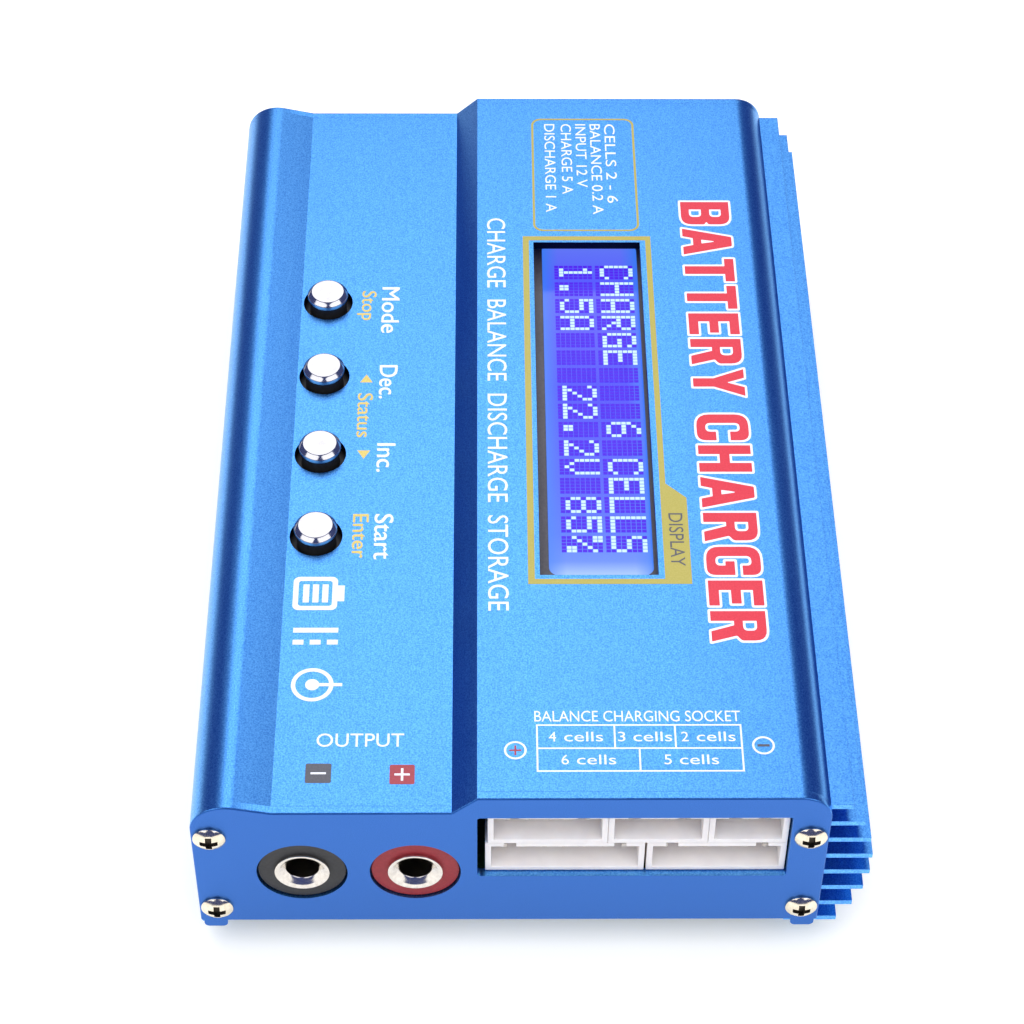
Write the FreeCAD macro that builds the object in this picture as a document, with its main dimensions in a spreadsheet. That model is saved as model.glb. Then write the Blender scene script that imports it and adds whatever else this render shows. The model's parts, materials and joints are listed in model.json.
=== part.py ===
import FreeCAD
import Part
import Sketcher
import math
import os
import re

# Balance battery charger: an extruded aluminium case with a two-level top, a finned side wall and two
# screwed end plates. The frame's origin is under the middle of the charger, on the desk. +X runs to the
# output end, +Y to the fins and +Z up. In the formulas below X is counted from the middle, Y from the
# front wall's outer face and Z from the desk.

SIZES = (
    ("length_over_plates", 133.0, "length of the charger over both end plates"),
    ("plate_thickness", 1.2, "sheet thickness of an end plate"),
    ("case_width", 78.8, "width of the case without its fins"),
    ("fin_reach", 6.0, "how far the middle fins stand out of the case"),
    ("high_panel", 25.6, "top of the display panel above the end plates' lower edge"),
    ("low_panel", 22.7, "top of the key panel above the end plates' lower edge"),
    ("foot_height", 5.5, "height of a rubber foot under the floor cover"),
    ("rail_drop", 2.0, "how far the walls reach below the end plates' lower edge"),
    ("skin", 1.3, "wall and panel thickness of the extrusion"),
    ("fin_wall", 2.8, "thickness of the wall that carries the fins"),
    ("step_start", 32.2, "where the slope between the two panels starts"),
    ("step_run", 3.1, "width of that slope"),
    ("bulge_radius", 4.6, "radius of the rounded front edge"),
    ("bulge_rise", 1.15, "height of the rounded front edge above the key panel"),
    ("bulge_run", 5.5, "distance from the rounded edge's crest to the foot of its ramp"),
    ("corner_radius", 4.0, "outer radius between the display panel and the fin wall"),
    ("inner_corner", 1.0, "inner radius at that corner"),
    ("fin_pitch", 3.415, "distance between fins"),
    ("fin_thickness", 0.85, "thickness of a fin"),
    ("fin_curve", 22.8, "radius of the arc that the fin tips follow"),
    ("lip_height", 1.1, "height of the lips that hold the floor cover"),
    ("lip_width", 1.3, "width of those lips"),
    ("cover_thickness", 1.5, "thickness of the floor cover"),
    ("cover_gap", 0.05, "clearance of the floor cover in its grooves"),
    ("screw_inset", 2.3, "end plate screws from the case's outer faces"),
    ("lower_screw", 2.96, "lower screws above the end plates' lower edge"),
    ("screw_spacing", 14.8, "distance between the lower and upper screws"),
    ("boss_radius", 1.95, "radius of the screw channels' walls"),
    ("screw_radius", 1.25, "thread radius of the small screws"),
    ("thread_gap", 0.02, "clearance between a screw and its thread"),
    ("passing_gap", 0.2, "clearance between a screw and a hole that it passes"),
    ("screw_length", 10.0, "shank length of the end plate screws"),
    ("head_radius", 2.05, "radius of a pan head"),
    ("head_height", 1.1, "height of a pan head"),
    ("head_dome", 3.0, "radius of the pan head's dome"),
    ("recess_span", 2.2, "span of the cross recess"),
    ("recess_width", 0.75, "width of the cross recess"),
    ("recess_depth", 0.8, "depth of the cross recess"),
    ("ear_inset", 0.4, "side of an end plate's ear from the case's outer face"),
    ("ear_width", 3.0, "width of the ears that close the cover's grooves"),
    ("ear_drop", 1.35, "how far the ears reach below the plate's lower edge"),
    ("ear_corner", 0.7, "corner radius of the ears"),
    ("plate_edge", 0.25, "rounding of the end plates' outer edge"),
    ("window_start", 36.1, "display window from the output plate's face"),
    ("window_length", 64.1, "length of the display window"),
    ("window_side", 43.45, "display window from the front wall"),
    ("window_width", 15.45, "width of the display window"),
    ("first_key", 45.5, "start key from the output plate's face"),
    ("key_pitch", 15.0, "distance between keys"),
    ("key_line", 13.9, "row of keys from the front wall"),
    ("key_hole_radius", 3.5, "radius of the holes for the keys"),
    ("cap_radius", 2.87, "radius of a key cap"),
    ("cap_flat_radius", 2.32, "radius of a key cap's flat top"),
    ("cap_stem_radius", 2.6, "radius of a key cap's stem"),
    ("cap_height", 1.2, "height of a key cap above its stem"),
    ("cap_rise", 2.25, "top of a key cap above the key panel"),
    ("cap_shoulder", 0.55, "height of the slope round a key cap's flat top"),
    ("cap_flange_radius", 4.0, "radius of the flange that keeps a cap under the panel"),
    ("cap_flange_height", 0.6, "thickness of that flange"),
    ("cap_flange_gap", 0.3, "clearance of that flange below the panel"),
    ("cap_roof", 1.2, "thickness of a cap above its plunger"),
    ("plunger_radius", 1.7, "radius of a key switch's plunger"),
    ("plunger_gap", 0.05, "clearance of the plunger in its switch"),
    ("plunger_depth", 1.5, "how deep the plunger stands in its switch"),
    ("switch_travel_room", 0.5, "room under the plunger"),
    ("switch_side", 6.0, "side of a key switch's square body"),
    ("switch_height", 3.5, "height of a key switch's body"),
    ("black_output", 13.4, "black output socket from the front wall"),
    ("output_spacing", 14.15, "distance between the output sockets"),
    ("output_height", 10.45, "output sockets above the end plates' lower edge"),
    ("output_hole_radius", 5.7, "radius of the plate's holes for the output sockets"),
    ("insulator_gap", 0.2, "clearance of an insulator in its hole"),
    ("insulator_recess", 0.35, "how far an insulator's face lies behind the plate's face"),
    ("insulator_flange_radius", 6.6, "radius of the insulator's flange behind the plate"),
    ("insulator_flange", 2.0, "thickness of that flange"),
    ("insulator_neck_radius", 4.6, "radius of the insulator's neck"),
    ("insulator_neck", 6.0, "length of the insulator's neck"),
    ("sleeve_radius", 2.7, "outer radius of an output sleeve"),
    ("sleeve_bore_radius", 2.05, "bore radius for a 4 mm plug"),
    ("sleeve_bore_depth", 16.0, "depth of that bore behind the sleeve's face"),
    ("sleeve_length", 18.0, "length of a sleeve behind its flange"),
    ("sleeve_flange_radius", 3.45, "radius of a sleeve's flange"),
    ("sleeve_flange", 0.45, "thickness of a sleeve's flange"),
    ("sleeve_mouth_radius", 3.2, "radius of the sleeve's countersunk mouth"),
    ("sleeve_mouth_depth", 0.75, "depth of that countersink"),
    ("nut_circle", 4.5, "radius over the corners of a sleeve's nut"),
    ("nut_thickness", 2.4, "thickness of a sleeve's nut"),
    ("tag_from_nut", 2.0, "solder tag behind the nut"),
    ("tag_thickness", 0.8, "thickness of a solder tag"),
    ("tag_half_width", 3.3, "half the width of a solder tag"),
    ("opening_start_gap", 0.98, "socket opening beyond the first sockets"),
    ("opening_end_gap", 0.22, "socket opening beyond the last sockets"),
    ("opening_under_gap", 0.15, "socket opening below the lower row"),
    ("opening_over_gap", 0.55, "socket opening above the upper row"),
    ("opening_corner", 0.4, "corner radius of the socket opening"),
    ("row_start", 36.28, "first balance socket from the front wall"),
    ("row_bottom", 9.7, "lower row of balance sockets above the end plates' lower edge"),
    ("socket_recess", 0.8, "balance sockets' faces behind the plate's face"),
    ("lower_gap", 0.25, "gap between the sockets of the lower row"),
    ("upper_gap", 0.02, "gap between the sockets of the upper row"),
    ("upper_shift", 0.3, "start of the upper row beyond the start of the lower row"),
    ("pin_pitch", 2.5, "distance between a balance socket's pins"),
    ("socket_ends", 2.4, "width of a socket beyond its pins' pitches"),
    ("socket_height", 5.75, "height of a balance socket"),
    ("socket_depth", 7.0, "depth of a balance socket"),
    ("socket_wall", 0.75, "wall of a balance socket"),
    ("cavity_depth", 5.4, "depth of a balance socket's cavity"),
    ("notch_width", 1.5, "width of a socket's polarising notches"),
    ("notch_inset", 2.35, "notches from the socket's ends"),
    ("notch_depth", 3.5, "depth of the notches"),
    ("pin_width", 0.64, "side of a square pin"),
    ("pin_shy", 2.0, "pin tips behind the socket's face"),
    ("pin_height", 2.5, "pins above the socket's lower face"),
    ("board_thickness", 1.6, "thickness of the circuit boards"),
    ("board_height", 4.6, "main board's underside above the end plates' lower edge"),
    ("board_side", 5.0, "main board from the front wall's outer face"),
    ("board_wall_gap", 0.8, "main board from the fin wall"),
    ("board_plate_gap", 1.0, "main board from the end plates"),
    ("output_notch", 12.5, "main board's notch for the output sockets, from the plate's face"),
    ("post_inset", 16.5, "board's posts from the end plates' faces"),
    ("post_side", 34.0, "front posts from the front wall"),
    ("post_gauge", 30.0, "distance between the posts across the case"),
    ("post_radius", 2.5, "radius of a post"),
    ("spigot_radius", 1.9, "radius of a post's pressed end in the floor cover"),
    ("board_screw_length", 5.0, "shank length of the boards' screws"),
    ("display_centre", 72.4, "display's middle from the output plate's face"),
    ("display_line", 52.3, "display's middle from the front wall"),
    ("display_height", 13.3, "display board's underside above the end plates' lower edge"),
    ("display_board_length", 80.0, "length of the display board"),
    ("display_board_width", 36.0, "width of the display board"),
    ("display_hole_inset", 2.5, "display board's holes from its edges"),
    ("spacer_radius", 2.0, "radius of a display spacer"),
    ("bezel_length", 71.2, "length of the display's metal frame"),
    ("bezel_width", 25.2, "width of that frame"),
    ("bezel_sheet", 0.5, "sheet thickness of that frame"),
    ("view_length", 65.2, "length of the display's visible area"),
    ("view_width", 13.9, "width of the display's visible area"),
    ("view_shift", 0.55, "visible area's middle in front of the display's middle"),
    ("view_corner", 1.5, "corner radius of the visible area"),
    ("backlight_height", 3.6, "thickness of the backlight"),
    ("glass_thickness", 2.2, "thickness of the display glass"),
    ("glass_gap", 0.1, "clearance of glass and backlight in the frame"),
    ("header_pitch", 2.54, "distance between the display's header pins"),
    ("header_side", 1.5, "header pins from the display board's edge"),
    ("jack_line", 14.0, "supply jack from the front wall"),
    ("jack_axis", 6.5, "supply jack's axis above the main board"),
    ("jack_width", 9.0, "width of the supply jack's block"),
    ("jack_block_height", 11.0, "height of the supply jack's block"),
    ("jack_block_length", 12.0, "length of the supply jack's block"),
    ("jack_radius", 4.0, "radius of the jack's barrel"),
    ("jack_bore_radius", 3.0, "bore radius of the jack"),
    ("jack_bore_depth", 9.5, "depth of the jack's bore"),
    ("jack_pin_radius", 1.05, "radius of the jack's centre pin"),
    ("jack_pin_shy", 1.5, "centre pin's tip behind the jack's face"),
    ("jack_gap", 0.2, "clearance of the jack in the input plate"),
    ("sensor_line", 57.5, "temperature sensor socket from the front wall"),
    ("sensor_gap", 0.3, "clearance of that socket in the input plate"),
    ("transistor_pitch", 16.0, "distance between power transistors"),
    ("transistor_width", 10.0, "width of a power transistor"),
    ("transistor_thickness", 4.4, "thickness of a power transistor"),
    ("transistor_height", 8.6, "height of a power transistor's body"),
    ("leg_height", 0.6, "transistor bodies above the board"),
    ("leg_width", 0.8, "width of a transistor's leg"),
    ("leg_spacing", 2.54, "distance between a transistor's legs"),
    ("pad_thickness", 0.3, "thickness of the thermal pad"),
    ("clamp_thickness", 1.2, "thickness of the clamp bar"),
    ("clamp_height", 4.0, "height of the clamp bar"),
    ("clamp_rise", 2.6, "clamp bar above the main board"),
    ("clamp_overhang", 4.0, "clamp bar beyond the outer transistors"),
    ("clamp_spacing", 32.0, "distance between the clamp bar's screws"),
    ("clamp_thread", 2.2, "depth of the clamp screws' threads in the fin wall"),
    ("choke_from_face", 22.5, "choke from the output plate's face"),
    ("choke_line", 51.0, "choke from the front wall"),
    ("choke_radius", 7.0, "radius of the choke's ferrite flanges"),
    ("choke_flange", 1.3, "thickness of those flanges"),
    ("choke_neck_radius", 3.4, "radius of the choke's neck"),
    ("choke_window", 6.4, "height of the choke's winding"),
    ("choke_winding_radius", 6.4, "radius of the choke's winding"),
    ("can_radius", 4.0, "radius of a capacitor can"),
    ("can_height", 12.0, "height of a capacitor can"),
    ("input_cans_from_face", 13.5, "input capacitors from the input plate's face"),
    ("input_cans_line", 42.0, "first input capacitor from the front wall"),
    ("input_cans_pitch", 9.5, "distance between the input capacitors"),
    ("output_cans_from_face", 26.5, "output capacitors from the output plate's face"),
    ("output_cans_line", 13.5, "first output capacitor from the front wall"),
    ("output_cans_pitch", 10.5, "distance between the output capacitors"),
    ("buzzer_from_face", 14.5, "buzzer from the input plate's face"),
    ("buzzer_line", 25.0, "buzzer from the front wall"),
    ("buzzer_radius", 6.0, "radius of the buzzer"),
    ("buzzer_height", 7.5, "height of the buzzer"),
    ("buzzer_hole", 1.0, "radius of the buzzer's sound hole"),
    ("foot_radius", 6.0, "radius of a foot where it is glued on"),
    ("foot_taper", 0.7, "how much narrower a foot is on the desk"),
    ("foot_inset", 14.0, "feet from the end plates' faces"),
    ("foot_side", 12.0, "feet from the case's outer faces"),
    ("overshoot", 1.0, "how far a cutting tool runs past the face that it starts from"),
)

FIN_COUNT = 8
KEY_NAMES = ("start", "increase", "decrease", "stop")
LOWER_ROW = (("six_cell", 7), ("five_cell", 6))
UPPER_ROW = (("four_cell", 5), ("three_cell", 4), ("two_cell", 3))
TRANSISTOR_PAIRS = 3
HEADER_PINS = 16

ALONG = FreeCAD.Vector(1, 0, 0)
ACROSS = FreeCAD.Vector(0, 1, 0)
UP = FreeCAD.Vector(0, 0, 1)
POINTS_UP = FreeCAD.Rotation()
POINTS_PLUS_X = FreeCAD.Rotation(ACROSS, 90)
POINTS_MINUS_X = FreeCAD.Rotation(ACROSS, -90)
POINTS_PLUS_Y = FreeCAD.Rotation(ALONG, -90)
POINTS_MINUS_Y = FreeCAD.Rotation(ALONG, 90)

os.makedirs("parts", exist_ok=True)
doc = FreeCAD.newDocument("balance_charger")
sheet = doc.addObject("Spreadsheet::Sheet", "sizes")
for row, (alias, number, meaning) in enumerate(SIZES, start=1):
    sheet.set(f"A{row}", meaning)
    sheet.set(f"B{row}", str(number))
    sheet.setAlias(f"B{row}", alias)
doc.recompute()

NAMES = {alias for alias, number, meaning in SIZES}
nodes = []


def bound(formula):
    """The formula with every size's name pointing into the sheet."""
    return re.sub(r"[a-z]\w*", lambda hit: "sizes." * (hit.group() in NAMES) + hit.group(), str(formula))


def number_of(formula):
    """What the formula comes to."""
    return float(sheet.evalExpression(bound(formula)))


# Levels and faces that many pieces share.
SIDE = "(case_width + fin_reach)/2"
END = "length_over_plates/2"
CASE_END = f"({END} - plate_thickness)"
RAIL = "(foot_height - lip_height - cover_gap)"
PLATE = f"({RAIL} + rail_drop)"
LOW = f"({PLATE} + low_panel)"
HIGH = f"({PLATE} + high_panel)"
COVER_TOP = "(foot_height + cover_thickness)"
BOARD_UNDER = f"({PLATE} + board_height)"
BOARD_TOP = f"({BOARD_UNDER} + board_thickness)"
FIN_FACE = "(case_width - fin_wall)"
OUTPUT_AXIS = f"({PLATE} + output_height)"
DISPLAY_UNDER = f"({PLATE} + display_height)"
DISPLAY_TOP = f"({DISPLAY_UNDER} + board_thickness)"
GLASS_UNDER = f"({DISPLAY_TOP} + backlight_height)"
BEZEL_TOP = f"({GLASS_UNDER} + glass_thickness + bezel_sheet)"
DISPLAY_X = f"({END} - display_centre)"
SOCKET_FACE = f"({END} - socket_recess)"
SOCKET_BACK = f"({SOCKET_FACE} - socket_depth)"
CAP_TOP = f"({LOW} + cap_rise)"
TRANSISTOR_FACE = f"({FIN_FACE} - pad_thickness - transistor_thickness)"


def place(item, x, y, z, turn=POINTS_UP):
    """Stands an object at X from the middle, Y from the front wall and Z from the desk."""
    item.Placement = FreeCAD.Placement(FreeCAD.Vector(), turn)
    for axis, formula in (("x", x), ("y", f"{y} - {SIDE}"), ("z", z)):
        item.setExpression(f"Placement.Base.{axis}", bound(formula))
    return item


def box(label, x, y, z):
    """A block between two formulas along each axis."""
    item = doc.addObject("Part::Box", label)
    for side, (start, end) in zip(("Length", "Width", "Height"), (x, y, z)):
        item.setExpression(side, bound(f"({end}) - ({start})"))
    return place(item, x[0], y[0], z[0])


def cylinder(label, x, y, z, radius, length, turn=POINTS_UP):
    """A cylinder that starts at the given point and runs the way it is turned."""
    item = doc.addObject("Part::Cylinder", label)
    item.setExpression("Radius", bound(radius))
    item.setExpression("Height", bound(length))
    return place(item, x, y, z, turn)


def cone(label, x, y, z, start_radius, end_radius, length, turn=POINTS_UP):
    """A cone that starts at the given point and runs the way it is turned."""
    item = doc.addObject("Part::Cone", label)
    item.setExpression("Radius1", bound(start_radius))
    item.setExpression("Radius2", bound(end_radius))
    item.setExpression("Height", bound(length))
    return place(item, x, y, z, turn)


def fuse(label, *pieces):
    item = doc.addObject("Part::MultiFuse", label)
    item.Shapes = list(pieces)
    return item


def cut(label, blank, *tools):
    """The blank less its tools."""
    item = doc.addObject("Part::Cut", label)
    item.Base = blank
    item.Tool = tools[0] if len(tools) == 1 else fuse(f"{label}_tools", *tools)
    return item


def group(label, pieces):
    """Like pieces that share a node and stay separate solids."""
    item = doc.addObject("Part::Compound", label)
    item.Links = list(pieces)
    return item


def keep(item, label, solids=1):
    """Makes an object one of the charger's sub-parts."""
    item.Label = label
    nodes.append((item, solids))
    return item


def sketch_on(body, label, role):
    """A sketch on one of the body's own origin planes."""
    sketch = body.newObject("Sketcher::SketchObject", label)
    plane = next(item for item in body.Origin.OriginFeatures if item.Role == role)
    sketch.AttachmentSupport = [(plane, "")]
    sketch.MapMode = "FlatFace"
    return sketch


def fix_point(sketch, edge, end, across, up):
    """Ties a point of a sketch to the sheet."""
    for kind, formula in (("DistanceX", across), ("DistanceY", up)):
        rule = sketch.addConstraint(Sketcher.Constraint(kind, -1, 1, edge, end, number_of(formula)))
        sketch.setExpression(f"Constraints[{rule}]", bound(formula))


def outline(sketch, corners):
    """A closed outline. A corner is (across, up), and (across, up, side, radius) starts an arc whose
    centre lies to the left or the right of the way round."""
    first = sketch.GeometryCount
    count = len(corners)
    ends = []
    for index, corner in enumerate(corners):
        target = corners[(index + 1) % count]
        start = FreeCAD.Vector(number_of(corner[0]), number_of(corner[1]), 0)
        stop = FreeCAD.Vector(number_of(target[0]), number_of(target[1]), 0)
        if len(corner) == 2:
            sketch.addGeometry(Part.LineSegment(start, stop))
            ends.append((1, 2))
            continue
        radius = number_of(corner[3])
        chord = stop - start
        left = FreeCAD.Vector(-chord.y, chord.x, 0).normalize()
        sign = 1 if corner[2] == "left" else -1
        centre = (start + stop) * 0.5 + left * (sign * math.sqrt(radius ** 2 - chord.Length ** 2 / 4))
        angles = [math.atan2(point.y - centre.y, point.x - centre.x) for point in (start, stop)]
        circle = Part.Circle(centre, UP, radius)
        sketch.addGeometry(Part.ArcOfCircle(circle, *angles[::sign]))
        ends.append((1, 2)[::sign])
    for index, corner in enumerate(corners):
        edge = first + index
        follower = first + (index + 1) % count
        start_end, stop_end = ends[index]
        follower_end = ends[(index + 1) % count][0]
        sketch.addConstraint(Sketcher.Constraint("Coincident", edge, stop_end, follower, follower_end))
        fix_point(sketch, edge, start_end, corner[0], corner[1])
        if len(corner) == 4:
            rule = sketch.addConstraint(Sketcher.Constraint("Radius", edge, number_of(corner[3])))
            sketch.setExpression(f"Constraints[{rule}]", bound(corner[3]))


def rectangle(sketch, across, up):
    outline(sketch, [(across[0], up[0]), (across[1], up[0]), (across[1], up[1]), (across[0], up[1])])


def rounded_rectangle(sketch, across, up, radius):
    """A rectangle with four equal round corners, counter-clockwise from its lower left."""
    left, right = across
    low, high = up
    outline(sketch, [
        (f"{left} + {radius}", low), (f"{right} - {radius}", low, "left", radius),
        (right, f"{low} + {radius}"), (right, f"{high} - {radius}", "left", radius),
        (f"{right} - {radius}", high), (f"{left} + {radius}", high, "left", radius),
        (left, f"{high} - {radius}"), (left, f"{low} + {radius}", "left", radius)])


def circle(sketch, across, up, radius):
    centre = FreeCAD.Vector(number_of(across), number_of(up), 0)
    edge = sketch.addGeometry(Part.Circle(centre, UP, number_of(radius)))
    fix_point(sketch, edge, 3, across, up)
    rule = sketch.addConstraint(Sketcher.Constraint("Radius", edge, number_of(radius)))
    sketch.setExpression(f"Constraints[{rule}]", bound(radius))


def pad(body, label, sketch, length, side="One side"):
    feature = body.newObject("PartDesign::Pad", label)
    feature.Profile = sketch
    feature.setExpression("Length", bound(length))
    feature.SideType = side
    return feature


def pocket(body, label, sketch, length=None, side="One side", upwards=False):
    """Cuts to a depth, or right through if it has none."""
    doc.recompute()
    before = body.Shape.Volume
    feature = body.newObject("PartDesign::Pocket", label)
    feature.Profile = sketch
    feature.SideType = side
    feature.Reversed = upwards
    if length is None:
        feature.Type = "ThroughAll"
    else:
        feature.setExpression("Length", bound(length))
    doc.recompute()
    if body.Shape.Volume >= before:
        raise RuntimeError(f"{label} cuts nothing")
    return feature


# ---- The case's outline ----

# The ramp from the rounded edge down to the key panel is the tangent from its foot to the edge's arc.
BULGE_DEPTH = "(bulge_radius - bulge_rise)"
BULGE_SPAN = f"(bulge_run^2 + {BULGE_DEPTH}^2)"
RAMP_LENGTH = f"sqrt({BULGE_SPAN} - bulge_radius^2)"
BULGE_SINE = f"((bulge_run*bulge_radius - {BULGE_DEPTH}*{RAMP_LENGTH})/{BULGE_SPAN})"
BULGE_COSINE = f"(({BULGE_DEPTH}*bulge_radius + bulge_run*{RAMP_LENGTH})/{BULGE_SPAN})"
RAMP_SHIFT = f"(skin*(1 - {BULGE_COSINE})/{BULGE_SINE})"
BULGE_CENTRE = f"({LOW} + bulge_rise - bulge_radius)"
STEP_RISE = "(high_panel - low_panel)"
STEP_SHIFT = f"(skin*(sqrt(step_run^2 + {STEP_RISE}^2) - step_run)/{STEP_RISE})"


def crown():
    """The outside of the top, from the front wall over both panels to the fin wall."""
    return [
        ("0", BULGE_CENTRE, "right", "bulge_radius"),
        (f"bulge_radius*(1 + {BULGE_SINE})", f"{BULGE_CENTRE} + bulge_radius*{BULGE_COSINE}"),
        ("bulge_radius + bulge_run", LOW),
        ("step_start", LOW),
        ("step_start + step_run", HIGH),
        ("case_width - corner_radius", HIGH, "right", "corner_radius"),
        ("case_width", f"{HIGH} - corner_radius")]


def lining():
    """The inside of the top, from the fin wall back to the front wall."""
    inner_radius = "(bulge_radius - skin)"
    return [
        (FIN_FACE, f"{HIGH} - skin - inner_corner", "left", "inner_corner"),
        (f"{FIN_FACE} - inner_corner", f"{HIGH} - skin"),
        (f"step_start + step_run + {STEP_SHIFT}", f"{HIGH} - skin"),
        (f"step_start + {STEP_SHIFT}", f"{LOW} - skin"),
        (f"bulge_radius + bulge_run - {RAMP_SHIFT}", f"{LOW} - skin"),
        (f"bulge_radius + {inner_radius}*{BULGE_SINE}", f"{BULGE_CENTRE} + {inner_radius}*{BULGE_COSINE}",
         "left", inner_radius),
        ("skin", BULGE_CENTRE)]


def ear(inner, outer):
    """One ear below an end plate, from its side nearer the fins to its side nearer the front."""
    tip = f"{PLATE} - ear_drop"
    return [
        (inner, PLATE),
        (inner, f"{tip} + ear_corner", "right", "ear_corner"),
        (f"{inner} - ear_corner", tip),
        (f"{outer} + ear_corner", tip, "right", "ear_corner"),
        (outer, f"{tip} + ear_corner"),
        (outer, PLATE)]


SCREW_PLACES = [(side, f"({PLATE} + lower_screw + {rise}*screw_spacing)")
                for side in ("screw_inset", "(case_width - screw_inset)") for rise in (0, 1)]
KEY_PLACES = [f"({END} - first_key - {index}*key_pitch)" for index in range(len(KEY_NAMES))]
OUTPUT_PLACES = (("black", "black_output"), ("red", "(black_output + output_spacing)"))
CLAMP_PLACES = [f"({DISPLAY_X} + {index}*clamp_spacing)" for index in (-1, 0, 1)]
ROW_UNDER = f"({PLATE} + row_bottom)"
CLAMP_AXIS = f"({BOARD_TOP} + clamp_rise + clamp_height/2)"


def socket_width(pins):
    return f"({pins}*pin_pitch + socket_ends)"


def row_layout(row, start, gap):
    """Each socket's name, number of pins and start from the front wall, then where the row ends."""
    layout = []
    for name, pins in row:
        layout.append((name, pins, start))
        end = f"({start} + {socket_width(pins)})"
        start = f"({end} + {gap})"
    return layout, end


LOWER_LAYOUT, LOWER_END = row_layout(LOWER_ROW, "row_start", "lower_gap")
UPPER_LAYOUT, UPPER_END = row_layout(UPPER_ROW, "(row_start + upper_shift)", "upper_gap")
OPENING_START = "(row_start - opening_start_gap)"


# ---- Upper case: one extrusion with its fins, screw channels and lips, then the machined openings ----

def upper_case():
    body = place(doc.addObject("PartDesign::Body", "upper_case"), "0", "0", "0")
    profile = sketch_on(body, "case_profile", "YZ_Plane")
    outline(profile, [("0", RAIL)] + crown() + [("case_width", RAIL), (FIN_FACE, RAIL)] + lining()
            + [("skin", RAIL)])
    case_length = f"2*{CASE_END}"
    pad(body, "case_extrusion", profile, case_length, "Symmetric")
    ribs = sketch_on(body, "case_ribs", "YZ_Plane")
    for index in range(FIN_COUNT):
        under = f"{RAIL} + {index}*fin_pitch"
        from_middle = f"{index - (FIN_COUNT - 1) / 2}*fin_pitch"
        tip = (f"case_width + fin_reach - sqrt(fin_curve^2 - (fin_pitch/2)^2)"
               f" + sqrt(fin_curve^2 - ({from_middle})^2)")
        rectangle(ribs, ("case_width - fin_wall/2", tip), (under, f"{under} + fin_thickness"))
    for across, up in SCREW_PLACES:
        circle(ribs, across, up, "boss_radius")
    lip = (RAIL, f"{RAIL} + lip_height")
    rectangle(ribs, ("skin/2", "skin + lip_width"), lip)
    rectangle(ribs, (f"{FIN_FACE} - lip_width", "case_width - 0.7*fin_wall"), lip)
    pad(body, "case_rib_extrusion", ribs, case_length, "Symmetric")
    threads = sketch_on(body, "channel_threads", "YZ_Plane")
    for across, up in SCREW_PLACES:
        circle(threads, across, up, "screw_radius + thread_gap")
    pocket(body, "channel_bores", threads, side="Symmetric")
    window = sketch_on(body, "window_outline", "XY_Plane")
    rectangle(window, (f"{END} - window_start - window_length", f"{END} - window_start"),
              ("window_side", "window_side + window_width"))
    pocket(body, "display_window", window, upwards=True)
    holes = sketch_on(body, "key_hole_outlines", "XY_Plane")
    for key_x in KEY_PLACES:
        circle(holes, key_x, "key_line", "key_hole_radius")
    pocket(body, "key_holes", holes, upwards=True)
    tapped = sketch_on(body, "clamp_hole_outlines", "XZ_Plane")
    tapped.setExpression("AttachmentOffset.Base.z", bound(f"-{FIN_FACE}"))
    for clamp_x in CLAMP_PLACES:
        circle(tapped, clamp_x, CLAMP_AXIS, "screw_radius + thread_gap")
    pocket(body, "clamp_holes", tapped, "clamp_thread")
    keep(body, "upper_case")


# ---- Floor cover: slides into the case's grooves and carries the board's posts ----

def post_places():
    return [(f"{end_sign}*({END} - post_inset)", side)
            for end_sign in (-1, 1) for side in ("post_side", "(post_side + post_gauge)")]


def floor_cover():
    blank = box("floor_cover_blank", (f"-{CASE_END} + cover_gap", f"{CASE_END} - cover_gap"),
                ("skin + cover_gap", f"{FIN_FACE} - cover_gap"), ("foot_height", COVER_TOP))
    holes = [cylinder(f"floor_cover_hole_{index}", x, y, "foot_height - overshoot", "spigot_radius",
                      "cover_thickness + 2*overshoot") for index, (x, y) in enumerate(post_places())]
    keep(cut("floor_cover", blank, *holes), "floor_cover")


def rubber_feet():
    feet = []
    for end_sign in (-1, 1):
        for y in ("foot_side", "(case_width - foot_side)"):
            feet.append(cone(f"foot_{len(feet)}", f"{end_sign}*({END} - foot_inset)", y, "0",
                             "foot_radius - foot_taper", "foot_radius", "foot_height"))
    keep(group("rubber_feet", feet), "rubber_feet", len(feet))


# ---- End plates ----

def plate_body(label, x):
    """A plate with the case's outline, its two ears and its four screw holes."""
    body = place(doc.addObject("PartDesign::Body", label), x, "0", "0")
    profile = sketch_on(body, f"{label}_outline", "YZ_Plane")
    outline(profile, [("0", PLATE)] + crown() + [("case_width", PLATE)]
            + ear("(case_width - ear_inset)", "(case_width - ear_inset - ear_width)")
            + ear("(ear_inset + ear_width)", "ear_inset"))
    pad(body, f"{label}_sheet", profile, "plate_thickness")
    doc.recompute()
    return body


def round_plate_edge(body, label, outer_x):
    """Rounds the outer edge of a plate's face over its top and sides."""
    doc.recompute()
    base = body.Tip
    lowest = number_of(PLATE) + 0.5 * number_of("plate_edge")
    hole_zone = number_of("skin") / 2
    width = number_of("case_width")
    picked = []
    for index, edge in enumerate(base.Shape.Edges, start=1):
        middle = edge.valueAt((edge.FirstParameter + edge.LastParameter) / 2)
        points_x = [vertex.X for vertex in edge.Vertexes] + [middle.x]
        on_face = all(abs(point_x - outer_x) < 1e-6 for point_x in points_x)
        on_top = middle.z > number_of(LOW) - hole_zone
        on_side = min(middle.y, width - middle.y) < hole_zone and middle.z > lowest
        if on_face and (on_top or on_side):
            picked.append(f"Edge{index}")
    feature = body.newObject("PartDesign::Fillet", label)
    feature.Base = (base, picked)
    feature.setExpression("Radius", bound("plate_edge"))
    doc.recompute()


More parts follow.
